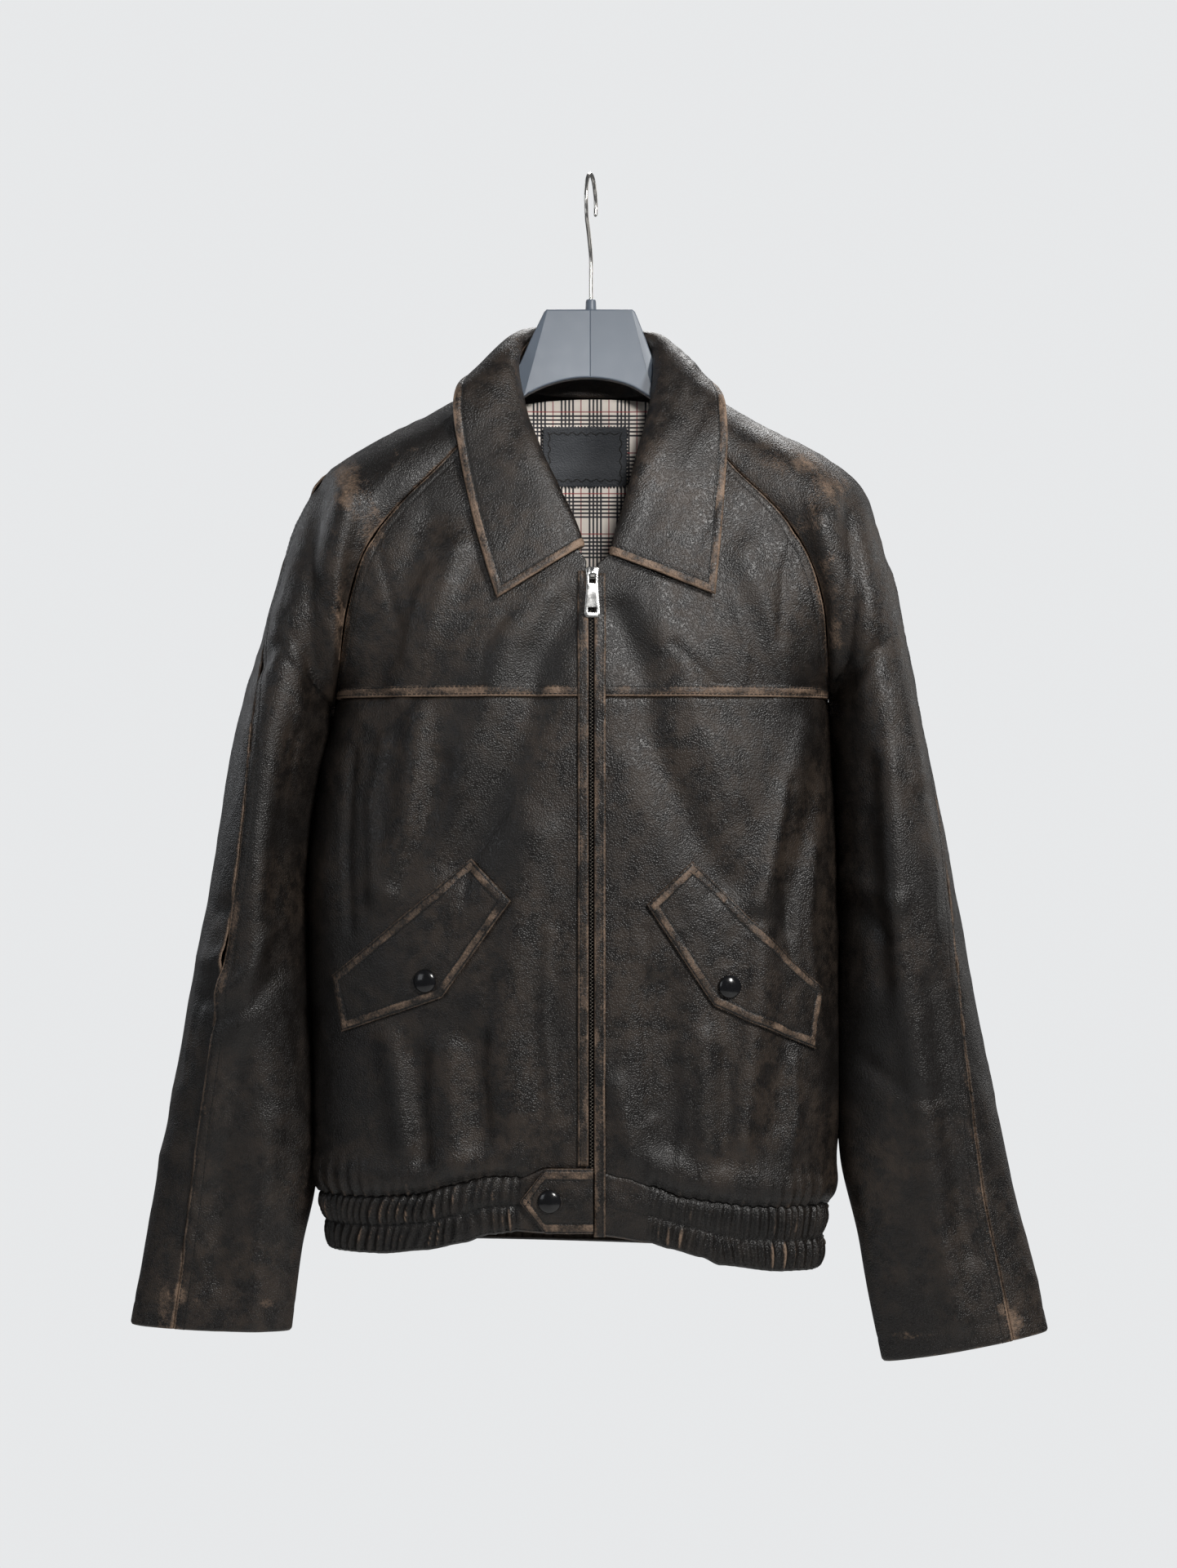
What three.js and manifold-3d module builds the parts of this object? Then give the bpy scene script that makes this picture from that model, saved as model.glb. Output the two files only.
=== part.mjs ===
// A worn leather jacket with a plaid lining, hanging closed on a plastic hanger.
// Millimetres, +Z up. The wearer's front faces -Y and the wearer's right is -X.
// The origin is the inside top of the hanger's hook, where a rail holds it.
import * as THREE from "three";
import { mergeVertices } from "three/addons/utils/BufferGeometryUtils.js";
import Module from "manifold-3d";

const wasm = await Module();
wasm.setup();

// Driving dimensions
const LEATHER = 1.5; // wall of the leather
const LINING = 1; // wall of the lining
const BAND = 2.5; // wall of the waistband, leather over elastic
const GAP = 0.4; // clearance between pieces at a seam
const LIE = 1.4; // lift of a piece that lies on a panel
const ROUND = 2.3; // exponent of the body's oval sections
const YOKE_SEAM_Z = -391;
const ARMPIT_Z = -400;
const WIRE = 3; // diameter of the hook's wire
const SNAP_RADIUS = 8.5;
const ZIP_TOP_Z = -292;

// ---------- Curves through hand-chosen stations ----------

// Smooth value between the rows of a table, for a place t from 0 (first row) to 1 (last row).
function along(rows, t) {
  const last = rows.length - 1;
  const place = Math.min(Math.max(t, 0), 1) * last;
  const i = Math.min(Math.floor(place), last - 1);
  const f = place - i;
  const before = rows[Math.max(i - 1, 0)];
  const after = rows[Math.min(i + 2, last)];
  return rows[i].map((b, k) => {
    const c = rows[i + 1][k];
    const slopeIn = (c - before[k]) / 2;
    const slopeOut = (after[k] - b) / 2;
    const f2 = f * f;
    const f3 = f2 * f;
    return (
      b * (2 * f3 - 3 * f2 + 1) +
      slopeIn * (f3 - 2 * f2 + f) +
      c * (3 * f2 - 2 * f3) +
      slopeOut * (f3 - f2)
    );
  });
}

// Smooth value of a table whose first column rises, at the key k.
function byKey(rows, k) {
  const n = rows.length;
  const key = Math.min(Math.max(k, rows[0][0]), rows[n - 1][0]);
  let i = 0;
  while (i < n - 2 && rows[i + 1][0] < key) i += 1;
  const f = (key - rows[i][0]) / (rows[i + 1][0] - rows[i][0]);
  const s = f * f * (3 - 2 * f);
  const blend = 0.5 * (f + s);
  return rows[i].slice(1).map((b, c) => b + (rows[i + 1][c + 1] - b) * blend);
}

const mix = (a, b, t) => a + (b - a) * t;
const smooth = (t) => {
  const c = Math.min(Math.max(t, 0), 1);
  return c * c * (3 - 2 * c);
};

// ---------- The body's form ----------

// Height, side at the wearer's right, side at the left, depth of the front, depth of the back.
const BODY = [
  [-830, -194, 171, 72, 66],
  [-790, -197, 174, 75, 69],
  [-755, -204, 179, 82, 74],
  [-700, -206, 184, 88, 79],
  [-640, -207, 184, 91, 83],
  [-584, -210, 184, 94, 86],
  [-525, -211, 183, 95, 88],
  [-480, -206, 181, 95, 89],
  [-441, -200, 179, 94, 89],
  [-400, -191, 177, 91, 88],
  [-387, -190, 177, 90, 87],
  [-351, -208, 194, 87, 86],
  [-320, -225, 212, 83, 84],
  [-286, -238, 226, 76, 79],
  [-250, -232, 224, 66, 72],
  [-210, -204, 198, 54, 63],
  [-170, -156, 152, 42, 53],
  [-140, -120, 118, 34, 44],
];

// Soft ridges (+) and troughs (-) of the front: height, half width, then points x, z.
const FRONT_FOLDS = [
  [-4.5, 22, [-16, -324], [-38, -370], [-50, -420], [-73, -470], [-92, -505]],
  [4.5, 20, [-127, -405], [-134, -485], [-149, -531]],
  [-4, 20, [-106, -448], [-120, -500]],
  [4, 24, [-40, -492], [-55, -557], [-62, -633]],
  [4, 19, [-147, -640], [-143, -666], [-136, -699]],
  [-4, 18, [-110, -645], [-112, -706]],
  [3.5, 20, [-98, -284], [-123, -353], [-140, -379]],
  [-4.5, 22, [26, -338], [40, -395], [73, -488], [91, -518]],
  [4.5, 20, [156, -415], [143, -470], [127, -536]],
  [4.5, 20, [125, -568], [121, -623], [114, -690]],
  [-4, 22, [51, -601], [58, -706]],
];
const BACK_FOLDS = [
  [4.5, 24, [-140, -400], [-118, -480], [-112, -570]],
  [-4, 24, [-96, -420], [-78, -520], [-84, -640]],
  [4.5, 26, [128, -410], [104, -500], [100, -600]],
  [-4, 24, [60, -440], [52, -560], [66, -680]],
];

// Height of the folds at a place on the front or back.
function foldHeight(folds, x, z) {
  let sum = 0;
  for (const [height, width, ...points] of folds) {
    let near = Infinity;
    for (let i = 0; i + 1 < points.length; i += 1) {
      const [ax, az] = points[i];
      const [bx, bz] = points[i + 1];
      const length2 = (bx - ax) ** 2 + (bz - az) ** 2;
      const t = ((x - ax) * (bx - ax) + (z - az) * (bz - az)) / length2;
      const c = Math.min(Math.max(t, 0), 1);
      near = Math.min(near, Math.hypot(x - mix(ax, bx, c), z - mix(az, bz, c)));
    }
    sum += height * Math.exp(-((near / width) ** 2));
  }
  return sum;
}

// The body's centre and half width at a height.
function bodyWidth(z) {
  const [right, left, front, back] = byKey(BODY, z);
  return { centre: (right + left) / 2, half: (left - right) / 2, front, back };
}

// Depth of the body's wall at (x, z): negative at the front, positive at the back.
function wallY(side, x, z) {
  const w = bodyWidth(z);
  const across = Math.min(Math.abs((x - w.centre) / w.half), 1);
  const oval = (1 - across ** ROUND) ** (1 / ROUND);
  const fade = 1 - across ** 6;
  const folds = foldHeight(side < 0 ? FRONT_FOLDS : BACK_FOLDS, x, z) * fade;
  const depth = side < 0 ? w.front : w.back;
  return side * (GAP / 2 + depth * oval + folds);
}
const front = (x, z) => new THREE.Vector3(x, wallY(-1, x, z), z);
const back = (x, z) => new THREE.Vector3(x, wallY(1, x, z), z);

// The x of a place at an angle round the body, from -90 (wearer's right side) to 90 degrees.
function roundX(z, degrees) {
  const w = bodyWidth(z);
  return w.centre + w.half * Math.sin(THREE.MathUtils.degToRad(degrees));
}
function angleAt(z, x) {
  const w = bodyWidth(z);
  const s = Math.min(Math.max((x - w.centre) / w.half, -1), 1);
  return THREE.MathUtils.radToDeg(Math.asin(s));
}

// ---------- Shells ----------

// Closed mesh from an outer and an inner grid of points, both nu by nv.
function closedGrid(outer, inner, nu, nv) {
  const points = [...outer, ...inner].flatMap((p) => [p.x, p.y, p.z]);
  const shift = outer.length;
  const at = (i, j) => j * (nu + 1) + i;
  const index = [];
  const quad = (a, b, c, d) => index.push(a, b, c, a, c, d);
  for (let j = 0; j < nv; j += 1)
    for (let i = 0; i < nu; i += 1) {
      const [a, b, c, d] = [at(i, j), at(i + 1, j), at(i + 1, j + 1), at(i, j + 1)];
      quad(a, b, c, d);
      quad(a + shift, d + shift, c + shift, b + shift);
    }
  for (let i = 0; i < nu; i += 1) {
    quad(at(i, 0), at(i, 0) + shift, at(i + 1, 0) + shift, at(i + 1, 0));
    quad(at(i, nv), at(i + 1, nv), at(i + 1, nv) + shift, at(i, nv) + shift);
  }
  for (let j = 0; j < nv; j += 1) {
    quad(at(0, j), at(0, j + 1), at(0, j + 1) + shift, at(0, j) + shift);
    quad(at(nu, j), at(nu, j) + shift, at(nu, j + 1) + shift, at(nu, j + 1));
  }
  const geometry = new THREE.BufferGeometry();
  geometry.setAttribute("position", new THREE.Float32BufferAttribute(points, 3));
  geometry.setIndex(index);
  return geometry;
}

function signedVolume(geometry) {
  const p = geometry.getAttribute("position");
  const [a, b, c] = [new THREE.Vector3(), new THREE.Vector3(), new THREE.Vector3()];
  let sum = 0;
  for (let i = 0; i < geometry.index.count; i += 3) {
    a.fromBufferAttribute(p, geometry.index.getX(i));
    b.fromBufferAttribute(p, geometry.index.getX(i + 1));
    c.fromBufferAttribute(p, geometry.index.getX(i + 2));
    sum += a.dot(b.cross(c)) / 6;
  }
  return sum;
}

// A wall from a surface of (u, v), between the lifts low and high along its normal, which points away from a core.
// Its inner rim is bevelled, so walls that meet at an angle stay clear.
function shell(surface, { nu, nv, low = -LEATHER, high = 0, core, bevel = 0.6 }) {
  const step = 1e-3;
  const rawNormal = (u, v) => {
    const u0 = Math.max(u - step, 0);
    const u1 = Math.min(u + step, 1);
    const v0 = Math.max(v - step, 0);
    const v1 = Math.min(v + step, 1);
    const du = surface(u1, v).sub(surface(u0, v));
    const dv = surface(u, v1).sub(surface(u, v0));
    return du.cross(dv).normalize();
  };
  const middle = surface(0.5, 0.5);
  const away = middle.sub(core ?? new THREE.Vector3(0, 0, middle.z));
  const turn = rawNormal(0.5, 0.5).dot(away) < 0 ? -1 : 1;
  const normal = (u, v) => rawNormal(u, v).multiplyScalar(turn);
  const rim = (high - low) * bevel;
  const sizeU = surface(0, 0.5).distanceTo(surface(0.5, 0.5)) * 2;
  const sizeV = surface(0.5, 0).distanceTo(surface(0.5, 0.5)) * 2;
  const [outer, inner] = [[], []];
  for (let j = 0; j <= nv; j += 1)
    for (let i = 0; i <= nu; i += 1) {
      const [u, v] = [i / nu, j / nv];
      outer.push(surface(u, v).addScaledVector(normal(u, v), high));
      const iu = mix(rim / sizeU, 1 - rim / sizeU, u);
      const iv = mix(rim / sizeV, 1 - rim / sizeV, v);
      inner.push(surface(iu, iv).addScaledVector(normal(iu, iv), low));
    }
  const geometry = closedGrid(outer, inner, nu, nv);
  if (signedVolume(geometry) < 0) {
    const turned = [];
    for (let i = 0; i < geometry.index.count; i += 3)
      turned.push(geometry.index.getX(i), geometry.index.getX(i + 2), geometry.index.getX(i + 1));
    geometry.setIndex(turned);
  }
  return geometry;
}

// ---------- Materials ----------

const paint = (color, roughness, metalness) =>
  new THREE.MeshStandardMaterial({ color, roughness, metalness });
const MATERIALS = {
  leather: paint(0x2a2420, 0.5, 0),
  lining: paint(0xe1cdbe, 0.9, 0),
  patch: paint(0x282a2e, 0.7, 0),
  tape: paint(0x15151a, 0.9, 0),
  metal: paint(0xc0c4c8, 0.3, 1),
  black: paint(0x101012, 0.25, 0.3),
  hanger: paint(0x737d8a, 0.4, 0),
};

const garment = new THREE.Group();
function add(name, geometry, material, place) {
  const mesh = new THREE.Mesh(geometry, MATERIALS[material]);
  mesh.name = name;
  if (place) mesh.applyMatrix4(place);
  garment.add(mesh);
  return mesh;
}

// ---------- Sleeves ----------

// For each side: sections from the neck to the cuff.
// Inner point x, z; outer point x, z; centre y; half depth; angles of the front seam, top seam and back seam.
const SLEEVES = {
  right: [
    [-86, -214, -76, -154, 2, 43, 90, 180, 270],
    [-101, -244, -125, -180, 2, 52, 85, 180, 275],
    [-131, -277, -169, -203, 0, 60, 75, 180, 285],
    [-151, -298, -201, -226, -2, 62, 62, 175, 298],
    [-167, -322, -219, -258, -4, 61, 50, 165, 310],
    [-183, -366, -231, -295, -6, 60, 32, 158, 328],
    [-192, -397, -245, -346, -2, 62, 0, 145, 360],
    [-198, -416, -258, -388, -2, 65, 0, 125, 360],
    [-209, -470, -269, -440, -2, 68, 0, 110, 360],
    [-214, -525, -279, -503, -2, 70, 0, 107, 360],
    [-213.5, -590, -292, -575, -2, 64, 0, 112, 360],
    [-211, -655, -304, -642, -3, 54, 0, 116, 360],
    [-210, -715, -316, -704, -4, 43, 0, 118, 360],
    [-210, -762, -325, -753, -4, 34, 0, 118, 360],
    [-217, -812, -334, -806, -5, 27, 0, 117, 360],
    [-223, -861, -343, -856, -5, 23, 0, 116, 360],
  ],
  left: [
    [86, -216, 76, -156, 2, 43, 90, 180, 270],
    [101, -246, 124, -184, 2, 52, 85, 180, 275],
    [128, -280, 170, -207, 0, 60, 75, 180, 285],
    [146, -304, 202, -234, -2, 62, 62, 176, 298],
    [157, -330, 214, -267, -4, 61, 50, 172, 310],
    [168, -368, 223, -302, -6, 60, 32, 168, 328],
    [179, -398, 234, -352, -2, 62, 0, 165, 360],
    [184.5, -420, 243, -392, -2, 65, 0, 162, 360],
    [187, -470, 255, -450, -2, 68, 0, 158, 360],
    [189, -525, 267, -510, -2, 70, 0, 148, 360],
    [189, -590, 280, -582, -2, 64, 0, 138, 360],
    [189, -655, 293, -650, -3, 54, 0, 132, 360],
    [190, -715, 306, -712, -4, 43, 0, 128, 360],
    [196, -766, 317, -762, -4, 34, 0, 125, 360],
    [205, -825, 330, -812, -5, 27, 0, 124, 360],
    [217, -884, 341, -861, -5, 23, 0, 123, 360],
  ],
};
// The raglan seams from the neck to the armpit, x and z, at the first sections above.
const RAGLAN = {
  right: {
    front: [[-80, -187], [-111, -220], [-145, -255], [-166, -286], [-179, -329], [-185, -371], [-191.5, -400]],
    back: [[-78, -176], [-108, -208], [-142, -244], [-164, -280], [-178, -325], [-185, -370], [-191.5, -400]],
  },
  left: {
    front: [[80, -193], [108, -225], [138, -255], [158, -286], [170, -322], [174.5, -364], [178.5, -400]],
    back: [[81, -177], [107, -211], [139, -247], [160, -283], [172, -325], [175, -370], [178.5, -400]],
  },
};
const LAST_SECTION = 15;
const ARMPIT_SECTION = 6;

// Point of a sleeve's oval section at a place down the sleeve and an angle round it.
function sleeveSeams(side, t) {
  const row = along(SLEEVES[side], t);
  return { front: Math.max(row[6], 0), top: row[7], back: Math.min(row[8], 360) };
}
function sleeveOval(side, t, degrees) {
  const [inX, inZ, outX, outZ, middle, depth] = along(SLEEVES[side], t);
  const a = THREE.MathUtils.degToRad(degrees);
  const c = Math.cos(a);
  return new THREE.Vector3(
    mix(outX, inX, (1 + c) / 2),
    middle - depth * Math.sin(a),
    mix(outZ, inZ, (1 + c) / 2),
  );
}

// The seam where a sleeve meets the body, then its underarm seam, at a place down the sleeve.
function raglanPoint(side, face, s) {
  const [x, z] = along(RAGLAN[side][face], s);
  return face === "front" ? front(x, z) : back(x, z);
}
function sleeveEdge(side, face, t) {
  const under = sleeveOval(side, t, sleeveSeams(side, t)[face]);
  const section = t * LAST_SECTION;
  if (section <= ARMPIT_SECTION) return raglanPoint(side, face, section / ARMPIT_SECTION);
  const end = raglanPoint(side, face, 1);
  const armpit = ARMPIT_SECTION / LAST_SECTION;
  const start = sleeveOval(side, armpit, sleeveSeams(side, armpit)[face]);
  const left = 1 - smooth((section - ARMPIT_SECTION) / 1.2);
  return under.addScaledVector(end.sub(start), left);
}

// Half a sleeve, from its body or underarm seam (u = 0) to its top seam (u = 1), neck to cuff in v.
function sleeveSurface(side, face) {
  return (u, v) => {
    const seams = sleeveSeams(side, v);
    const from = seams[face];
    const edge = sleeveEdge(side, face, v);
    const shift = edge.sub(sleeveOval(side, v, from));
    const half = (Math.PI / 2) * sleeveOval(side, v, 0).distanceTo(sleeveOval(side, v, 180));
    const trim = GAP / 2 / Math.max(half, 30);
    const w = mix(trim, 1 - trim, u);
    const p = sleeveOval(side, v, mix(from, seams.top, w));
    return p.addScaledVector(shift, 1 - w);
  };
}
for (const side of ["right", "left"])
  for (const [face, nu] of [["front", 6], ["back", 8]]) {
    const core = sleeveOval(side, 0.5, 0).lerp(sleeveOval(side, 0.5, 180), 0.5);
    add(`${side}_sleeve_${face}`, shell(sleeveSurface(side, face), { nu, nv: 22, core }), "leather");
  }

// ---------- Body panels ----------

// The x of a raglan seam at a height, found by halving.
function raglanX(side, face, z) {
  let [low, high] = [0, 1];
  for (let i = 0; i < 40; i += 1) {
    const s = (low + high) / 2;
    if (along(RAGLAN[side][face], s)[1] > z) low = s;
    else high = s;
  }
  return along(RAGLAN[side][face], low)[0];
}

const TOWARDS = { right: -1, left: 1 };
const ZIP_EDGE = { right: -3.3, left: 3.3 };
// Heights and x of the front neckline, from the zip's top to the raglan seam.
const NECKLINE = {
  right: [[-200, -68], [-212, -60], [-235, -46], [-260, -29], [-284, -9], [ZIP_TOP_Z, ZIP_EDGE.right]],
  left: [[-204, 66], [-216, 58], [-238, 47], [-262, 33], [-285, 15], [ZIP_TOP_Z - 4, ZIP_EDGE.left]],
};
function necklineX(side, z) {
  const rows = [...NECKLINE[side]].reverse();
  return byKey(rows, z)[0];
}

function yokeSurface(side) {
  const top = NECKLINE[side][0][0];
  const s = TOWARDS[side];
  return (u, v) => {
    const z = mix(YOKE_SEAM_Z + GAP / 2, top, v);
    const inner = necklineX(side, z);
    const outer = raglanX(side, "front", z) - s * GAP;
    return front(mix(inner, outer, u), z);
  };
}

// The waistband's seam with the panels, and its lower edge: x and z round the front.
const WAIST_FRONT = {
  right: [[-205, -757], [-160, -756], [-126, -753], [-103, -746], [-74, -739], [-51, -739], [-33, -732], [0, -733]],
  left: [[0, -733], [25, -739], [45, -746], [69, -755], [93, -759], [118, -763], [148, -765], [180, -766]],
};
const HEM_FRONT = {
  right: [[-205, -795], [-160, -794], [-126, -791], [-95, -786], [-77, -782], [-51, -779], [-33, -780], [0, -780]],
  left: [[0, -780], [16, -783], [41, -787], [59, -792], [84, -797], [97, -801], [145, -805], [180, -807]],
};
const lineZ = (rows, x) => byKey(rows, x)[0];
const WAIST_Z = -755;
// The x along the waistband, from the zip (u = 0) to the side seam (u = 1).
const bandX = (side, u) => roundX(WAIST_Z, mix(angleAt(WAIST_Z, ZIP_EDGE[side]), 90 * TOWARDS[side], u));

function lowerFrontSurface(side) {
  const end = 90 * TOWARDS[side];
  return (u, v) => {
    const bottom = lineZ(WAIST_FRONT[side], bandX(side, u)) + GAP / 2;
    const top = YOKE_SEAM_Z - GAP / 2 - 13 * smooth((u - 0.84) / 0.16);
    const z = mix(bottom, top, v);
    return front(roundX(z, mix(angleAt(z, ZIP_EDGE[side]), end, u)), z);
  };
}
for (const side of ["right", "left"]) {
  add(`${side}_front_yoke`, shell(yokeSurface(side), { nu: 8, nv: 10 }), "leather");
  add(`${side}_front`, shell(lowerFrontSurface(side), { nu: 12, nv: 15 }), "leather");
}

const BACK_WAIST_Z = -762;
const BACK_HEM_Z = -804;
const BACK_NECK_Z = -166;
function backEdgeAngle(side, z) {
  const end = 90 * TOWARDS[side];
  if (z <= ARMPIT_Z) return end;
  return angleAt(z, raglanX(side, "back", z) - TOWARDS[side] * 3 * GAP);
}
// The back from side to side (u) and from bottom to top (v), lifted by a distance for what lies on it.
function backSurface(bottom, top) {
  return (u, v) => {
    const side = 2 * u - 1;
    const z = mix(bottom, top - 10 * side * side, v);
    const angle = mix(backEdgeAngle("right", z), backEdgeAngle("left", z), u);
    return back(roundX(z, angle), z);
  };
}
add("back_panel", shell(backSurface(BACK_WAIST_Z + GAP / 2, BACK_NECK_Z), { nu: 16, nv: 18 }), "leather");

// The lining, a wall inside the back that shows through the neck.
const LINING_LIFT = -5;
const LINING_SPAN = { from: 0.06, to: 0.94, bottom: -740, top: -172 };
function liningSurface(u, v) {
  const across = mix(LINING_SPAN.from, LINING_SPAN.to, u);
  return backSurface(LINING_SPAN.bottom, LINING_SPAN.top)(across, v);
}
add("back_lining", shell(liningSurface, { nu: 10, nv: 10, low: LINING_LIFT - LINING, high: LINING_LIFT, bevel: 0 }), "lining");

const LABEL = { left: -37, right: 28, bottom: -225, top: -180, wall: 1 };
add("neck_label", shell((u, v) => back(mix(LABEL.left, LABEL.right, u), mix(LABEL.bottom, LABEL.top, v)), {
  nu: 4, nv: 3, low: LINING_LIFT - LINING - LIE - LABEL.wall, high: LINING_LIFT - LINING - LIE, bevel: 0,
}), "patch");

// ---------- Waistband and belt tab ----------

function frontBandSurface(side) {
  const end = 90 * TOWARDS[side];
  return (u, v) => {
    const x = bandX(side, u);
    const top = lineZ(WAIST_FRONT[side], x) - GAP / 2;
    const z = mix(lineZ(HEM_FRONT[side], x), top, v);
    return front(roundX(z, mix(angleAt(z, ZIP_EDGE[side]), end, u)), z);
  };
}
for (const side of ["right", "left"])
  add(`waistband_${side}`, shell(frontBandSurface(side), { nu: 12, nv: 2, low: -BAND, bevel: 0.2 }), "leather");
add("waistband_back", shell((u, v) => {
  const z = mix(BACK_HEM_Z, BACK_WAIST_Z - GAP / 2, v);
  return back(roundX(z, mix(-90, 90, u)), z);
}, { nu: 18, nv: 2, low: -BAND, bevel: 0.2 }), "leather");

// The tab that crosses the zip at the hem: its upper and lower edges, pointed at the wearer's right.
const TAB_TOP = [[-51, -755], [-42, -743], [-33, -731], [-15, -731], [1.5, -731]];
const TAB_BOTTOM = [[-51, -756], [-42, -767], [-33, -779], [-15, -779], [1.5, -779]];
function tabSurface(u, v) {
  const [topX, topZ] = polyline(TAB_TOP, u);
  const [lowX, lowZ] = polyline(TAB_BOTTOM, u);
  return front(mix(lowX, topX, v), mix(lowZ, topZ, v));
}
function polyline(points, t) {
  const place = Math.min(Math.max(t, 0), 1) * (points.length - 1);
  const i = Math.min(Math.floor(place), points.length - 2);
  return points[i].map((a, k) => mix(a, points[i + 1][k], place - i));
}
const TAB_WALL = 2;
add("belt_tab", shell(tabSurface, { nu: 8, nv: 4, low: LIE, high: LIE + TAB_WALL, bevel: 0 }), "leather");

// ---------- Pocket flaps ----------

const FLAPS = {
  right: { top: [[-86, -508], [-138, -551], [-188, -594]], bottom: [[-57, -538], [-107, -608], [-181, -635]], snap: [-119, -596] },
  left: { top: [[72, -510], [129, -557], [167, -603]], bottom: [[40, -541], [88, -614], [163, -648]], snap: [99, -600] },
};
for (const side of ["right", "left"]) {
  const { top, bottom } = FLAPS[side];
  const surface = (u, v) => {
    const [topX, topZ] = polyline(top, u);
    const [lowX, lowZ] = polyline(bottom, u);
    return front(mix(lowX, topX, v), mix(lowZ, topZ, v));
  };
  add(`${side}_pocket_flap`, shell(surface, { nu: 8, nv: 4, low: LIE, high: LIE + LEATHER, bevel: 0 }), "leather");
}

// ---------- Snap caps ----------

const SNAP_PROFILE = [[0, 0], [7.6, 0], [SNAP_RADIUS, 0.9], [8.1, 2], [6.4, 3.3], [3.4, 4.1], [0, 4.4]];
// A cap whose back rests a gap above a place on the front.
function addSnap(name, x, z, lift) {
  const normal = frontNormal(x, z);
  const turn = new THREE.Quaternion().setFromUnitVectors(new THREE.Vector3(0, 1, 0), normal);
  const at = front(x, z).addScaledVector(normal, lift);
  const profile = SNAP_PROFILE.map(([r, h]) => new THREE.Vector2(r, h));
  add(name, new THREE.LatheGeometry(profile, 24), "black", new THREE.Matrix4().compose(at, turn, new THREE.Vector3(1, 1, 1)));
}
function frontNormal(x, z) {
  const du = front(x + 4, z).sub(front(x - 4, z));
  const dv = front(x, z + 4).sub(front(x, z - 4));
  return du.cross(dv).normalize();
}
const FLAP_SNAP_LIFT = LIE + LEATHER + 0.8;
addSnap("right_flap_snap", ...FLAPS.right.snap, FLAP_SNAP_LIFT);
addSnap("left_flap_snap", ...FLAPS.left.snap, FLAP_SNAP_LIFT);
addSnap("belt_tab_snap", -30, -755, LIE + TAB_WALL + 0.4);

// ---------- Zip ----------

// A strip down the front between two x, lying at a lift.
function addStrip(name, x0, x1, top, bottom, low, high, material, steps) {
  const surface = (u, v) => front(mix(x0, x1, u), mix(bottom, top, v));
  add(name, shell(surface, { nu: 1, nv: steps, low, high, bevel: 0 }), material);
}
const STRIP_WALL = 1.2;
const STRIP_LIFT = 1;
addStrip("right_zip_strip", -9.5, -1.8, -300, -729.5, STRIP_LIFT, STRIP_LIFT + STRIP_WALL, "leather", 20);
addStrip("left_zip_strip", 2.2, 10.4, -302, -782, STRIP_LIFT, STRIP_LIFT + STRIP_WALL, "leather", 20);
addStrip("zip_tape", -2.9, 2.9, ZIP_TOP_Z - 5, -778, -2, -0.6, "tape", 20);

// The slider: a plate with an arch that holds the pull's crossbar.
const SLIDER = { x: 1, top: -297, bottom: -306, half: 5, wall: 2.6, arch: 1.4, archOut: 5 };
const sliderFace = wallY(-1, SLIDER.x, SLIDER.bottom) - STRIP_LIFT - STRIP_WALL - 0.6;

function solidOf(geometry) {
  const g = geometry.clone();
  g.deleteAttribute("normal");
  g.deleteAttribute("uv");
  const merged = mergeVertices(g, 1e-3);
  return new wasm.Manifold(
    new wasm.Mesh({
      numProp: 3,
      vertProperties: merged.attributes.position.array,
      triVerts: new Uint32Array(merged.index.array),
    }),
  );
}
function geometryOf(solid) {
  const mesh = solid.getMesh();
  const geometry = new THREE.BufferGeometry();
  geometry.setAttribute("position", new THREE.BufferAttribute(mesh.vertProperties, 3));
  geometry.setIndex(new THREE.BufferAttribute(mesh.triVerts, 1));
  return geometry;
}
// An outline in (y, z) made a plate across x.
function acrossX(outline, x0, x1) {
  const geometry = new THREE.ExtrudeGeometry(outline, { depth: x1 - x0, bevelEnabled: false, curveSegments: 8 });
  // The outline's first axis becomes -y, so that the plate keeps its right-handed turn.
  geometry.applyMatrix4(new THREE.Matrix4().makeBasis(new THREE.Vector3(0, -1, 0), new THREE.Vector3(0, 0, 1), new THREE.Vector3(-1, 0, 0)));
  geometry.translate(x1, 0, 0);
  return geometry;
}
const barZ = (SLIDER.top + SLIDER.bottom) / 2;
const plateOut = SLIDER.wall;
const BAR = 1.6; // thickness of the pull and its crossbar
const barY = sliderFace - plateOut - 0.7 - BAR / 2;
function sliderGeometry() {
  const plate = new THREE.BoxGeometry(2 * SLIDER.half, SLIDER.wall, SLIDER.top - SLIDER.bottom);
  plate.translate(SLIDER.x, sliderFace - SLIDER.wall / 2, barZ);
  const arch = new THREE.Shape();
  arch.moveTo(0.4, 4);
  arch.lineTo(0.4, -4);
  arch.lineTo(plateOut + 3, -4);
  arch.lineTo(plateOut + SLIDER.archOut, -2.2);
  arch.lineTo(plateOut + SLIDER.archOut, 2.2);
  arch.lineTo(plateOut + 3, 4);
  arch.closePath();
  const eye = new THREE.Path();
  eye.moveTo(plateOut + 0.05, 2.2);
  eye.lineTo(plateOut + 2.9, 2.2);
  eye.lineTo(plateOut + 3.4, 1.5);
  eye.lineTo(plateOut + 3.4, -1.5);
  eye.lineTo(plateOut + 2.9, -2.2);
  eye.lineTo(plateOut + 0.05, -2.2);
  eye.closePath();
  arch.holes.push(eye);
  const bridge = acrossX(arch, SLIDER.x - SLIDER.arch, SLIDER.x + SLIDER.arch);
  bridge.translate(0, sliderFace, barZ);
  return geometryOf(solidOf(plate).add(solidOf(bridge)));
}
add("zip_slider", sliderGeometry(), "metal");

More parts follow.
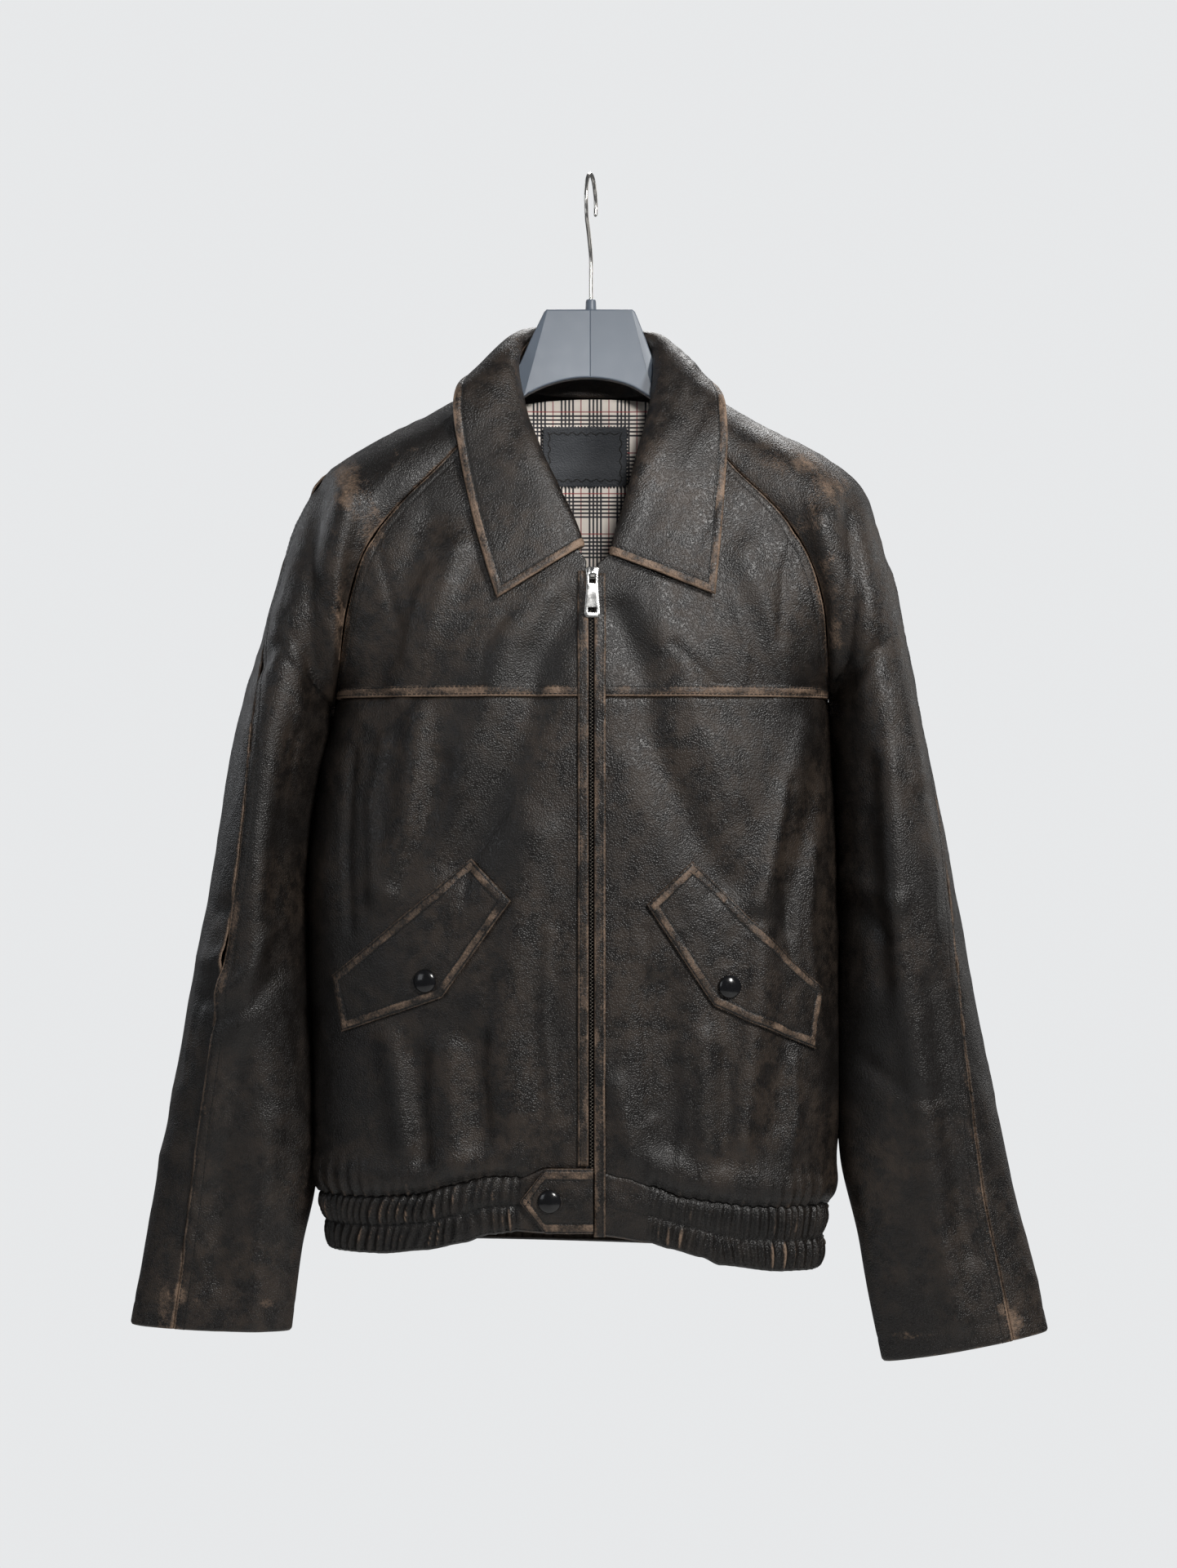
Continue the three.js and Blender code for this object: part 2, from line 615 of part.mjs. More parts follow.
// The pull hangs from its crossbar: a narrow eye, then a tapered plate with a slot near its end.
const PULL = { length: 33, top: 4.2, end: 5.8, eye: 2.4 };
function pullGeometry() {
  const half = BAR / 2;
  const outline = new THREE.Shape();
  outline.moveTo(-PULL.top, half);
  outline.lineTo(-PULL.top, -9);
  outline.lineTo(-PULL.end, 3 - PULL.length);
  outline.quadraticCurveTo(-PULL.end, half - PULL.length, 3 - PULL.end, half - PULL.length);
  outline.lineTo(PULL.end - 3, half - PULL.length);
  outline.quadraticCurveTo(PULL.end, half - PULL.length, PULL.end, 3 - PULL.length);
  outline.lineTo(PULL.top, -9);
  outline.lineTo(PULL.top, half);
  outline.closePath();
  const eye = new THREE.Path();
  eye.moveTo(-PULL.eye, -half);
  eye.lineTo(PULL.eye, -half);
  eye.lineTo(PULL.eye, -7.5);
  eye.lineTo(-PULL.eye, -7.5);
  eye.closePath();
  outline.holes.push(eye);
  const slot = new THREE.Path();
  slot.moveTo(-3, -25);
  slot.lineTo(3, -25);
  slot.lineTo(3.2, -28.5);
  slot.lineTo(-3.2, -28.5);
  slot.closePath();
  outline.holes.push(slot);
  const geometry = new THREE.ExtrudeGeometry(outline, { depth: BAR, bevelEnabled: false, curveSegments: 4 });
  geometry.rotateX(Math.PI / 2);
  return geometry.translate(0, BAR / 2, 0);
}
add("zip_pull", pullGeometry(), "metal", new THREE.Matrix4().makeTranslation(SLIDER.x, barY, barZ));

// ---------- Collar ----------

// Roll line x, y, z and outer edge x, y, z, from the wearer's right front end, round the back, to the left end.
// On the front, y is a lift off the yoke instead.
const FALL_FRONT = {
  right: [
    [-8, 3.5, -283, -68, 4.5, -320],
    [-15, 5, -263, -77, 5, -292],
    [-26, 6, -240, -86, 5, -260],
    [-39, 8, -212, -95, 5, -218],
  ],
  left: [
    [17, 3.5, -289, 90, 4.5, -317],
    [21, 5, -272, 93, 5, -288],
    [29, 6, -246, 96, 5, -256],
    [37, 8, -214, 99, 5, -222],
  ],
};
const FALL_BACK = [
  [-51, -41, -178, -101, -50, -182],
  [-57, -24, -146, -99, -34, -162],
  [-55, -3, -124, -92, -2, -154],
  [-44, 18, -113, -87, 47, -163],
  [-22, 33, -112, -50, 66, -184],
  [0, 38, -112, 0, 73, -190],
  [22, 33, -113, 50, 66, -186],
  [38, 20, -115, 87, 49, -166],
  [48, 6, -122, 92, -2, -158],
  [50, -18, -148, 98, -34, -170],
  [46, -38, -178, 100, -50, -192],
];
const onYoke = ([x, lift, z]) => [x, wallY(-1, x, z) - lift, z];
const fallRow = (row) => [...onYoke(row.slice(0, 3)), ...onYoke(row.slice(3))];
const FALL = [
  ...FALL_FRONT.right.map(fallRow),
  ...FALL_BACK,
  ...[...FALL_FRONT.left].reverse().map(fallRow),
];
const COLLAR_BULGE = 5;
// Across the collar's fall: u along its length, v from the roll line to the outer edge.
function fallSurface(u, v) {
  const row = along(FALL, u);
  const roll = new THREE.Vector3(...row.slice(0, 3));
  const edge = new THREE.Vector3(...row.slice(3));
  const out = new THREE.Vector3().subVectors(edge, roll);
  const run = new THREE.Vector3(...along(FALL, Math.min(u + 0.01, 1))).sub(new THREE.Vector3(...along(FALL, Math.max(u - 0.01, 0))));
  const away = run.cross(out).normalize();
  const middle = 1 - smooth((Math.abs(u - 0.5) - 0.3) / 0.2);
  const bulge = mix(1.5, COLLAR_BULGE, middle) * Math.sin(Math.PI * Math.sqrt(v));
  return roll.addScaledVector(out, v).addScaledVector(away, bulge);
}
add("collar_fall", shell(fallSurface, { nu: 32, nv: 4, low: 0, high: LEATHER, core: new THREE.Vector3(0, 0, -170), bevel: 0 }), "leather");

// The stand inside the neck: seam x, y, z, then its top just inside the roll line.
const STAND_SEAM = [
  [-60, -38, -200],
  [-70, -22, -168],
  [-70, 2, -156],
  [-58, 26, -160],
  [-32, 41, -164],
  [0, 46, -165],
  [32, 41, -165],
  [58, 28, -162],
  [69, 4, -159],
  [70, -20, -172],
  [60, -36, -204],
];
const STAND_TOP = [
  [-42, -39, -200],
  [-53, -23, -150],
  [-51, -2, -130],
  [-41, 15, -119],
  [-20, 29, -117],
  [0, 34, -117],
  [20, 29, -118],
  [36, 17, -120],
  [47, 7, -127],
  [46, -18, -152],
  [40, -38, -200],
];
function standSurface(u, v) {
  const low = new THREE.Vector3(...along(STAND_SEAM, u));
  const top = new THREE.Vector3(...along(STAND_TOP, u));
  return low.lerp(top, v);
}
add("collar_stand", shell(standSurface, { nu: 24, nv: 2, low: -LEATHER / 2, high: LEATHER / 2, bevel: 0 }), "leather");

// ---------- Hanger ----------

// Outline of the plate and arms in x and z, clockwise from the top left corner.
const HANGER_OUTLINE = [
  [-35, -102], [-33, -100], [31, -100], [33, -102], [41, -122], [51, -150], [66, -166], [102, -185],
  [153, -208], [183, -226], [189, -235], [182, -243], [150, -228], [98, -204], [46, -167],
  [24, -155], [-3, -151], [-28, -155], [-52, -166], [-100, -196], [-150, -222], [-182, -240],
  [-190, -233], [-185, -222], [-169, -211], [-103, -179], [-70, -160], [-53, -140], [-46, -124],
];
const HANGER_DEPTH = 12;
const HANGER_BEVEL = 2.5;
function hangerGeometry() {
  const points = HANGER_OUTLINE.map(([x, z]) => new THREE.Vector2(x, z)).reverse();
  const geometry = new THREE.ExtrudeGeometry(new THREE.Shape(points), {
    depth: HANGER_DEPTH - 2 * HANGER_BEVEL,
    bevelThickness: HANGER_BEVEL,
    bevelSize: 2,
    bevelOffset: -2,
    bevelSegments: 1,
  });
  geometry.translate(0, 0, HANGER_BEVEL - HANGER_DEPTH / 2);
  return geometry.rotateX(Math.PI / 2);
}
add("hanger_body", hangerGeometry(), "hanger");
const BOSS = { radius: 4.5, top: -92 };
const boss = new THREE.CylinderGeometry(BOSS.radius - 1, BOSS.radius, 7.6, 16);
boss.rotateX(Math.PI / 2);
add("hanger_boss", boss, "metal", new THREE.Matrix4().makeTranslation(0, 0, BOSS.top - 3.8));

// The hook's wire: up from the boss, forward round the rail, over its top and down behind.
const HOOK_BOW = 21; // radius of the bow, to the wire's middle
const HOOK_TURN = THREE.MathUtils.degToRad(10);
function hookGeometry() {
  const rise = WIRE / 2;
  const points = [[0, -91.6], [0, -76], [-0.5, -60], [-8, -46], [-17.5, -34]];
  for (let a = 200; a >= -20; a -= 20) {
    const r = THREE.MathUtils.degToRad(a);
    points.push([HOOK_BOW * Math.cos(r), rise - HOOK_BOW + HOOK_BOW * Math.sin(r)]);
  }
  const path = new THREE.CatmullRomCurve3(
    points.map(([y, z]) => new THREE.Vector3(y * Math.sin(HOOK_TURN), y * Math.cos(HOOK_TURN), z)),
  );
  const section = new THREE.Shape().absarc(0, 0, WIRE / 2, 0, 2 * Math.PI);
  return new THREE.ExtrudeGeometry(section, { steps: 44, extrudePath: path, curveSegments: 5 });
}
add("hanger_hook", hookGeometry(), "metal");

export default garment;
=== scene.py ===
"""A worn leather jacket with a plaid lining, zipped and hanging on a grey plastic hanger.

Each operator makes one piece, or one group of like pieces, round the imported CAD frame.
Forms are worked out in millimetres and turned into metres when a mesh is made.
The wearer's front faces -Y and the wearer's right is -X.
"""

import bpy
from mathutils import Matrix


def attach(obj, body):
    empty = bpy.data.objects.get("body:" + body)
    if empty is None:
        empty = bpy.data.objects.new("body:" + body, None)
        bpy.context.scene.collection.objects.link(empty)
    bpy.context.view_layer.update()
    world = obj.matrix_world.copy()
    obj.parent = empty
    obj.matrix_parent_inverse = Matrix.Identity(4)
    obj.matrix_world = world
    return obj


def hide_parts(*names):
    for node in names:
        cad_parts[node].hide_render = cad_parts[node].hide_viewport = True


bl_info = {
    "name": "Worn leather jacket",
    "version": (1, 0, 0),
    "blender": (4, 5, 0),
    "location": "View3D > Sidebar > Jacket",
    "description": "Builds a worn leather jacket hanging on a plastic hanger",
    "category": "Object",
}

import math

import bmesh
import bpy
import numpy as np
from mathutils import Matrix, Vector

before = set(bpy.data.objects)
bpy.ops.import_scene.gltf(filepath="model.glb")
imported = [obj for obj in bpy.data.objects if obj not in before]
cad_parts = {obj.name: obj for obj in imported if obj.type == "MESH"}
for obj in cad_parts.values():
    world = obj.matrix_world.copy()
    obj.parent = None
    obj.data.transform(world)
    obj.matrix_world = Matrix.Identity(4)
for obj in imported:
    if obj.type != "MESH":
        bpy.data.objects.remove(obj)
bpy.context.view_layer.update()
MM = 0.001
BODY = "garment"
PULL_BODY = "pull"

# ---------- Driving sizes, in millimetres ----------

LEATHER = 1.5
LINING = 1.0
GAP = 0.4
LIE = 1.4
ROUND = 2.3
UNDER = 1.2  # how far a panel's edge runs on under its neighbour
NEAR_ROW = 2.2  # the row of stitches nearest a seam
RAGLAN_ROW = 8.0
SLEEVE_ROW = 8.4
FOOT_SEEDS = {"right": 31, "left": 33}
FOOT_EASE = 1.15  # length of gathered leather for each length of waist
YOKE_SEAM_Z = -391.0
ARMPIT_Z = -400.0
ZIP_TOP_Z = -292.0
WAIST_Z = -755.0
TOWARDS = {"right": -1, "left": 1}
ZIP_EDGE = {"right": -3.3, "left": 3.3}

# ---------- Curves through given stations ----------------


def along(rows, t):
    """Smooth rows of a table at places t, from 0 at its first row to 1 at its last."""
    rows = np.asarray(rows, float)
    last = len(rows) - 1
    place = np.clip(np.asarray(t, float), 0, 1) * last
    i = np.minimum(place.astype(int), last - 1)
    f = (place - i)[..., None]
    here, after = rows[i], rows[i + 1]
    slope_in = (after - rows[np.maximum(i - 1, 0)]) / 2
    slope_out = (rows[np.minimum(i + 2, last)] - here) / 2
    f2, f3 = f * f, f * f * f
    return (
        here * (2 * f3 - 3 * f2 + 1)
        + slope_in * (f3 - 2 * f2 + f)
        + after * (3 * f2 - 2 * f3)
        + slope_out * (f3 - f2)
    )


def by_key(rows, key):
    """Smooth columns of a table whose first column rises, at the keys."""
    rows = np.asarray(rows, float)
    key = np.clip(np.asarray(key, float), rows[0, 0], rows[-1, 0])
    i = np.clip(np.searchsorted(rows[:, 0], key, side="left") - 1, 0, len(rows) - 2)
    f = (key - rows[i, 0]) / (rows[i + 1, 0] - rows[i, 0])
    blend = (0.5 * (f + f * f * (3 - 2 * f)))[..., None]
    return rows[i, 1:] + (rows[i + 1, 1:] - rows[i, 1:]) * blend


def polyline(points, t):
    """Points on straight legs of equal share, at places t."""
    points = np.asarray(points, float)
    place = np.clip(np.asarray(t, float), 0, 1) * (len(points) - 1)
    i = np.minimum(place.astype(int), len(points) - 2)
    f = (place - i)[..., None]
    return points[i] + (points[i + 1] - points[i]) * f


def mix(a, b, t):
    return a + (b - a) * t


def smooth(t):
    t = np.clip(t, 0, 1)
    return t * t * (3 - 2 * t)


def distance(x, z, points):
    """How far places (x, z) are from a line of legs."""
    near = np.full(np.shape(x), 1e9)
    for (ax, az), (bx, bz) in zip(points, points[1:]):
        length2 = (bx - ax) ** 2 + (bz - az) ** 2
        t = np.clip(((x - ax) * (bx - ax) + (z - az) * (bz - az)) / length2, 0, 1)
        near = np.minimum(near, np.hypot(x - mix(ax, bx, t), z - mix(az, bz, t)))
    return near


def noise(x, y, seed=0):
    """Soft noise from -1 to 1 on a plane, the same on each run."""
    xi, yi = np.floor(x), np.floor(y)
    fx, fy = x - xi, y - yi
    fx, fy = fx * fx * (3 - 2 * fx), fy * fy * (3 - 2 * fy)

    def corner(dx, dy):
        n = np.sin((xi + dx) * 127.1 + (yi + dy) * 311.7 + seed * 74.7) * 43758.5453
        return (n - np.floor(n)) * 2 - 1

    low = mix(corner(0, 0), corner(1, 0), fx)
    high = mix(corner(0, 1), corner(1, 1), fx)
    return mix(low, high, fy)


# ---------- The body's form ----------

# Height, wearer's right side, left side, depth of the front, depth of the back.
BODY_SECTIONS = [
    (-830, -194, 171, 72, 66),
    (-790, -197, 174, 75, 69),
    (-755, -204, 179, 82, 74),
    (-700, -206, 184, 88, 79),
    (-640, -207, 184, 91, 83),
    (-584, -210, 184, 94, 86),
    (-525, -211, 183, 95, 88),
    (-480, -206, 181, 95, 89),
    (-441, -200, 179, 94, 89),
    (-400, -191, 177, 91, 88),
    (-387, -190, 177, 90, 87),
    (-351, -208, 194, 87, 86),
    (-320, -225, 212, 83, 84),
    (-286, -238, 226, 76, 79),
    (-250, -232, 224, 66, 72),
    (-210, -204, 198, 54, 63),
    (-170, -156, 152, 42, 53),
    (-140, -120, 118, 34, 44),
]

# Ridges (+) and troughs (-): height, half width, then points x, z.
FRONT_FOLDS = [
    (-5.5, 15, [(-16, -324), (-36, -360), (-46, -412), (-73, -470), (-96, -512)]),
    (2.6, 14, [(-30, -318), (-62, -352), (-78, -400), (-100, -450)]),
    (6.0, 11, [(-127, -405), (-134, -485), (-149, -531)]),
    (-5.0, 10, [(-107, -440), (-122, -490), (-141, -524)]),
    (4.5, 17, [(-40, -492), (-55, -557), (-62, -633), (-56, -690)]),
    (5.5, 10, [(-147, -640), (-143, -666), (-136, -715)]),
    (-5.0, 9, [(-127, -650), (-121, -725)]),
    (4.0, 9, [(-105, -646), (-102, -725)]),
    (-4.0, 9, [(-83, -640), (-80, -715)]),
    (4.0, 10, [(-98, -284), (-123, -353), (-140, -384)]),
    (-3.0, 12, [(-118, -262), (-146, -330), (-158, -384)]),
    (-5.5, 15, [(20, -332), (38, -378), (42, -420), (73, -488), (95, -524)]),
    (2.6, 14, [(34, -322), (66, -360), (80, -410), (104, -462)]),
    (6.0, 10, [(160, -412), (143, -470), (124, -540)]),
    (-5.5, 8, [(170, -440), (152, -500), (140, -560)]),
    (6.0, 10, [(125, -566), (121, -623), (117, -655), (110, -712)]),
    (-4.0, 9, [(142, -640), (136, -700)]),
    (-4.5, 14, [(51, -601), (58, -712)]),
    (3.5, 9, [(18, -672), (30, -722)]),
    (3.5, 10, [(82, -640), (84, -716)]),
    (3.5, 11, [(112, -288), (134, -340), (146, -384)]),
]
BACK_FOLDS = [
    (5.0, 16, [(-150, -392), (-126, -470), (-112, -560)]),
    (-5.0, 14, [(-118, -400), (-94, -490), (-84, -600)]),
    (5.0, 16, [(138, -396), (110, -480), (100, -580)]),
    (-4.5, 14, [(102, -410), (70, -520), (66, -640)]),
    (4.0, 18, [(-40, -480), (-30, -620), (-44, -720)]),
    (-3.5, 16, [(12, -300), (6, -420), (16, -560)]),
    (4.5, 12, [(-150, -620), (-138, -720)]),
    (-4.0, 11, [(-118, -640), (-112, -725)]),
    (4.0, 12, [(128, -630), (120, -722)]),
    (-4.0, 11, [(96, -650), (92, -725)]),
    (3.5, 11, [(44, -650), (40, -722)]),
]


def fold_height(folds, x, z):
    total = np.zeros(np.shape(x))
    for height, width, points in folds:
        total += height * np.exp(-((distance(x, z, points) / width) ** 2))
    return total


def body_width(z):
    right, left, front, back = np.moveaxis(by_key(BODY_SECTIONS, z), -1, 0)
    return (right + left) / 2, (left - right) / 2, front, back


def wall_y(side, x, z):
    """The depth of the body's wall: side is -1 for the front and 1 for the back."""
    centre, half, front, back = body_width(z)
    across = np.minimum(np.abs((x - centre) / half), 1)
    oval = (1 - across**ROUND) ** (1 / ROUND)
    folds = fold_height(FRONT_FOLDS if side < 0 else BACK_FOLDS, x, z) * (1 - across**6)
    return side * (GAP / 2 + (front if side < 0 else back) * oval + folds)


def wall(side, x, z):
    x, z = np.broadcast_arrays(np.asarray(x, float), np.asarray(z, float))
    return np.stack([x, wall_y(side, x, z), z], -1)


def round_x(z, degrees):
    centre, half, _, _ = body_width(z)
    return centre + half * np.sin(np.radians(degrees))


def angle_at(z, x):
    centre, half, _, _ = body_width(z)
    return np.degrees(np.arcsin(np.clip((x - centre) / half, -1, 1)))


# ---------- Sleeves ----------

# Sections from the neck to the cuff: inner point x, z; outer point x, z;
# centre y; half depth; angles of the front, top and back seams.
SLEEVES = {
    "right": [
        (-86, -214, -76, -154, 2, 43, 90, 180, 270),
        (-101, -244, -125, -180, 2, 52, 85, 180, 275),
        (-131, -277, -169, -203, 0, 60, 75, 180, 285),
        (-151, -298, -201, -226, -2, 62, 62, 175, 298),
        (-167, -322, -219, -258, -4, 61, 50, 165, 310),
        (-183, -366, -231, -295, -6, 60, 32, 158, 328),
        (-192, -397, -245, -346, -2, 62, 0, 145, 360),
        (-198, -416, -258, -388, -2, 65, 0, 125, 360),
        (-209, -470, -269, -440, -2, 68, 0, 110, 360),
        (-214, -525, -279, -503, -2, 70, 0, 107, 360),
        (-213.5, -590, -292, -575, -2, 64, 0, 112, 360),
        (-211, -655, -304, -642, -3, 54, 0, 116, 360),
        (-210, -715, -316, -704, -4, 43, 0, 118, 360),
        (-210, -762, -325, -753, -4, 34, 0, 118, 360),
        (-217, -812, -334, -806, -5, 27, 0, 117, 360),
        (-223, -861, -343, -856, -5, 23, 0, 116, 360),
    ],
    "left": [
        (86, -216, 76, -156, 2, 43, 90, 180, 270),
        (101, -246, 124, -184, 2, 52, 85, 180, 275),
        (128, -280, 170, -207, 0, 60, 75, 180, 285),
        (146, -304, 202, -234, -2, 62, 62, 176, 298),
        (157, -330, 214, -267, -4, 61, 50, 172, 310),
        (168, -368, 223, -302, -6, 60, 32, 168, 328),
        (179, -398, 234, -352, -2, 62, 0, 165, 360),
        (184.5, -420, 243, -392, -2, 65, 0, 162, 360),
        (187, -470, 255, -450, -2, 68, 0, 158, 360),
        (189, -525, 267, -510, -2, 70, 0, 148, 360),
        (189, -590, 280, -582, -2, 64, 0, 138, 360),
        (189, -655, 293, -650, -3, 54, 0, 132, 360),
        (190, -715, 306, -712, -4, 43, 0, 128, 360),
        (196, -766, 317, -762, -4, 34, 0, 125, 360),
        (205, -825, 330, -812, -5, 27, 0, 124, 360),
        (217, -884, 341, -861, -5, 23, 0, 123, 360),
    ],
}
# The raglan seams from the neck to the armpit, x and z, at the first sections above.
RAGLAN = {
    "right": {
        "front": [
            (-80, -187), (-111, -220), (-145, -255), (-166, -286), (-179, -329), (-185, -371), (-191.5, -400)
        ],
        "back": [
            (-78, -176), (-108, -208), (-142, -244), (-164, -280), (-178, -325), (-185, -370), (-191.5, -400)
        ],
    },
    "left": {
        "front": [
            (80, -193), (108, -225), (138, -255), (158, -286), (170, -322), (174.5, -364), (178.5, -400)
        ],
        "back": [(81, -177), (107, -211), (139, -247), (160, -283), (172, -325), (175, -370), (178.5, -400)],
    },
}
LAST_SECTION = 15
ARMPIT_SECTION = 6


def sleeve_oval(side, t, degrees):
    row = along(SLEEVES[side], t)
    a = np.radians(degrees)
    share = (1 + np.cos(a)) / 2
    x = mix(row[..., 2], row[..., 0], share)
    z = mix(row[..., 3], row[..., 1], share)
    return np.stack([x, row[..., 4] - row[..., 5] * np.sin(a), z], -1)


def sleeve_seams(side, t):
    row = along(SLEEVES[side], t)
    return {"front": np.maximum(row[..., 6], 0), "top": row[..., 7], "back": np.minimum(row[..., 8], 360)}


def raglan_point(side, face, s):
    xz = along(RAGLAN[side][face], s)
    return wall(-1 if face == "front" else 1, xz[..., 0], xz[..., 1])


def sleeve_edge(side, face, t):
    """The seam with the body down to the armpit, then the underarm seam."""
    section = t * LAST_SECTION
    body = raglan_point(side, face, np.minimum(section / ARMPIT_SECTION, 1))
    under = sleeve_oval(side, t, sleeve_seams(side, t)[face])
    armpit = np.array(ARMPIT_SECTION / LAST_SECTION)
    start = sleeve_oval(side, armpit, sleeve_seams(side, armpit)[face])
    left = 1 - smooth((section - ARMPIT_SECTION) / 1.2)
    arm = under + (raglan_point(side, face, np.array(1.0)) - start) * left[..., None]
    return np.where((section <= ARMPIT_SECTION)[..., None], body, arm)


def sleeve_surface(side, face):
    """Half a sleeve: u from its body or underarm seam to its top seam, v from neck to cuff."""

    def surface(u, v):
        seams = sleeve_seams(side, v)
        start = seams[face]
        shift = sleeve_edge(side, face, v) - sleeve_oval(side, v, start)
        point = sleeve_oval(side, v, mix(start, seams["top"], u))
        return point + shift * (1 - u)[..., None]

    return surface


# ---------- Panels ----------


def raglan_x(side, face, z):
    """The x of a raglan seam at heights z."""
    rows = np.array([along(RAGLAN[side][face], s) for s in np.linspace(0, 1, 200)])[::-1]
    return np.interp(z, rows[:, 1], rows[:, 0])


NECKLINE = {
    "right": [(ZIP_TOP_Z, -3.3), (-284, -9), (-260, -29), (-235, -46), (-212, -60), (-200, -68)],
    "left": [(ZIP_TOP_Z - 4, 3.3), (-285, 15), (-262, 33), (-238, 47), (-216, 58), (-204, 66)],
}
WAIST_FRONT = {
    "right": [
        (-205, -757), (-160, -756), (-126, -753), (-103, -746), (-74, -739), (-51, -739), (-33, -732),
        (0, -733),
    ],
    "left": [
        (0, -733), (25, -739), (45, -746), (69, -755), (93, -759), (118, -763), (148, -765), (180, -766)
    ],
}
HEM_FRONT = {
    "right": [
        (-205, -799), (-160, -798), (-126, -794), (-95, -788), (-77, -782), (-51, -779), (-33, -780),
        (0, -780),
    ],
    "left": [(0, -780), (16, -783), (41, -787), (59, -792), (84, -799), (97, -805), (145, -812), (180, -814)],
}
BACK_WAIST = (-757.0, -766.0)  # at the wearer's right and left sides
BACK_HEM = (-796.0, -813.0)
BACK_NECK_Z = -166.0


def line_z(rows, x):
    return by_key(rows, x)[..., 0]


def band_x(side, u):
    start = angle_at(np.array(WAIST_Z), ZIP_EDGE[side])
    return round_x(np.full(np.shape(u), WAIST_Z), mix(start, 90 * TOWARDS[side], u))


def yoke_surface(side):
    top = NECKLINE[side][-1][0]

    def surface(u, v):
        z = mix(YOKE_SEAM_Z + GAP / 2, top, v)
        inner = by_key(NECKLINE[side], z)[..., 0]
        outer = raglan_x(side, "front", z) + TOWARDS[side] * UNDER
        return wall(-1, mix(inner, outer, u), z)

    return surface


def lower_front_surface(side):
    end = 90 * TOWARDS[side]

    def surface(u, v):
        bottom = line_z(WAIST_FRONT[side], band_x(side, u)) + GAP / 2
        top = YOKE_SEAM_Z + 2 * UNDER - 13 * smooth((u - 0.84) / 0.16)
        z = mix(bottom, top, v)
        return wall(-1, round_x(z, mix(angle_at(z, ZIP_EDGE[side]), end, u)), z)

    return surface


def back_edge_angle(side, z):
    arm = angle_at(z, raglan_x(side, "back", z) + TOWARDS[side] * UNDER)
    return np.where(z <= ARMPIT_Z, 90.0 * TOWARDS[side], arm)


def back_surface(bottom, top):
    def surface(u, v):
        side = 2 * u - 1
        z = mix(mix(*bottom, u), top - 10 * side * side, v)
        angle = mix(back_edge_angle("right", z), back_edge_angle("left", z), u)
        return wall(1, round_x(z, angle), z)

    return surface


def front_band_surface(side):
    end = 90 * TOWARDS[side]

    def surface(u, v):
        x = band_x(side, u)
        z = mix(line_z(HEM_FRONT[side], x), line_z(WAIST_FRONT[side], x) + 2 * UNDER, v)
        return wall(-1, round_x(z, mix(angle_at(z, ZIP_EDGE[side]), end, u)), z)

    return surface


def back_band_surface(u, v):
    z = mix(mix(*BACK_HEM, u), mix(*BACK_WAIST, u) + 2 * UNDER, v)
    return wall(1, round_x(z, mix(-90, 90, u)), z)

# ---------- Making cloth meshes ----------


def grid_mesh(nu, nv):
    """A flat grid from bmesh, its places u and v from 0 to 1 and its UV layer."""
    mesh = bpy.data.meshes.new("grid")
    bm = bmesh.new()
    bm.loops.layers.uv.new("UVMap")
    bmesh.ops.create_grid(bm, x_segments=nu, y_segments=nv, size=0.5, calc_uvs=True)
    bm.to_mesh(mesh)
    bm.free()
    places = np.empty(len(mesh.vertices) * 3)
    mesh.vertices.foreach_get("co", places)
    places = places.reshape(-1, 3)[:, :2] + 0.5
    return mesh, places


def crowded(count, share):
    """Places from 0 to 1, closer together towards both ends by a share."""
    t = np.linspace(0, 1, count + 1)
    return t - share * np.sin(2 * np.pi * t) / (2 * np.pi)


def normals_of(rows, core):
    """Unit normals of a grid of points, away from the core."""
    du = np.gradient(rows, axis=1)
    dv = np.gradient(rows, axis=0)
    n = np.cross(du, dv)
    n /= np.maximum(np.linalg.norm(n, axis=-1, keepdims=True), 1e-9)
    middle = rows[rows.shape[0] // 2, rows.shape[1] // 2]
    away = middle - (np.array([0, 0, middle[2]]) if core is None else np.asarray(core, float))
    if np.dot(n[rows.shape[0] // 2, rows.shape[1] // 2], away) < 0:
        n = -n
    return n


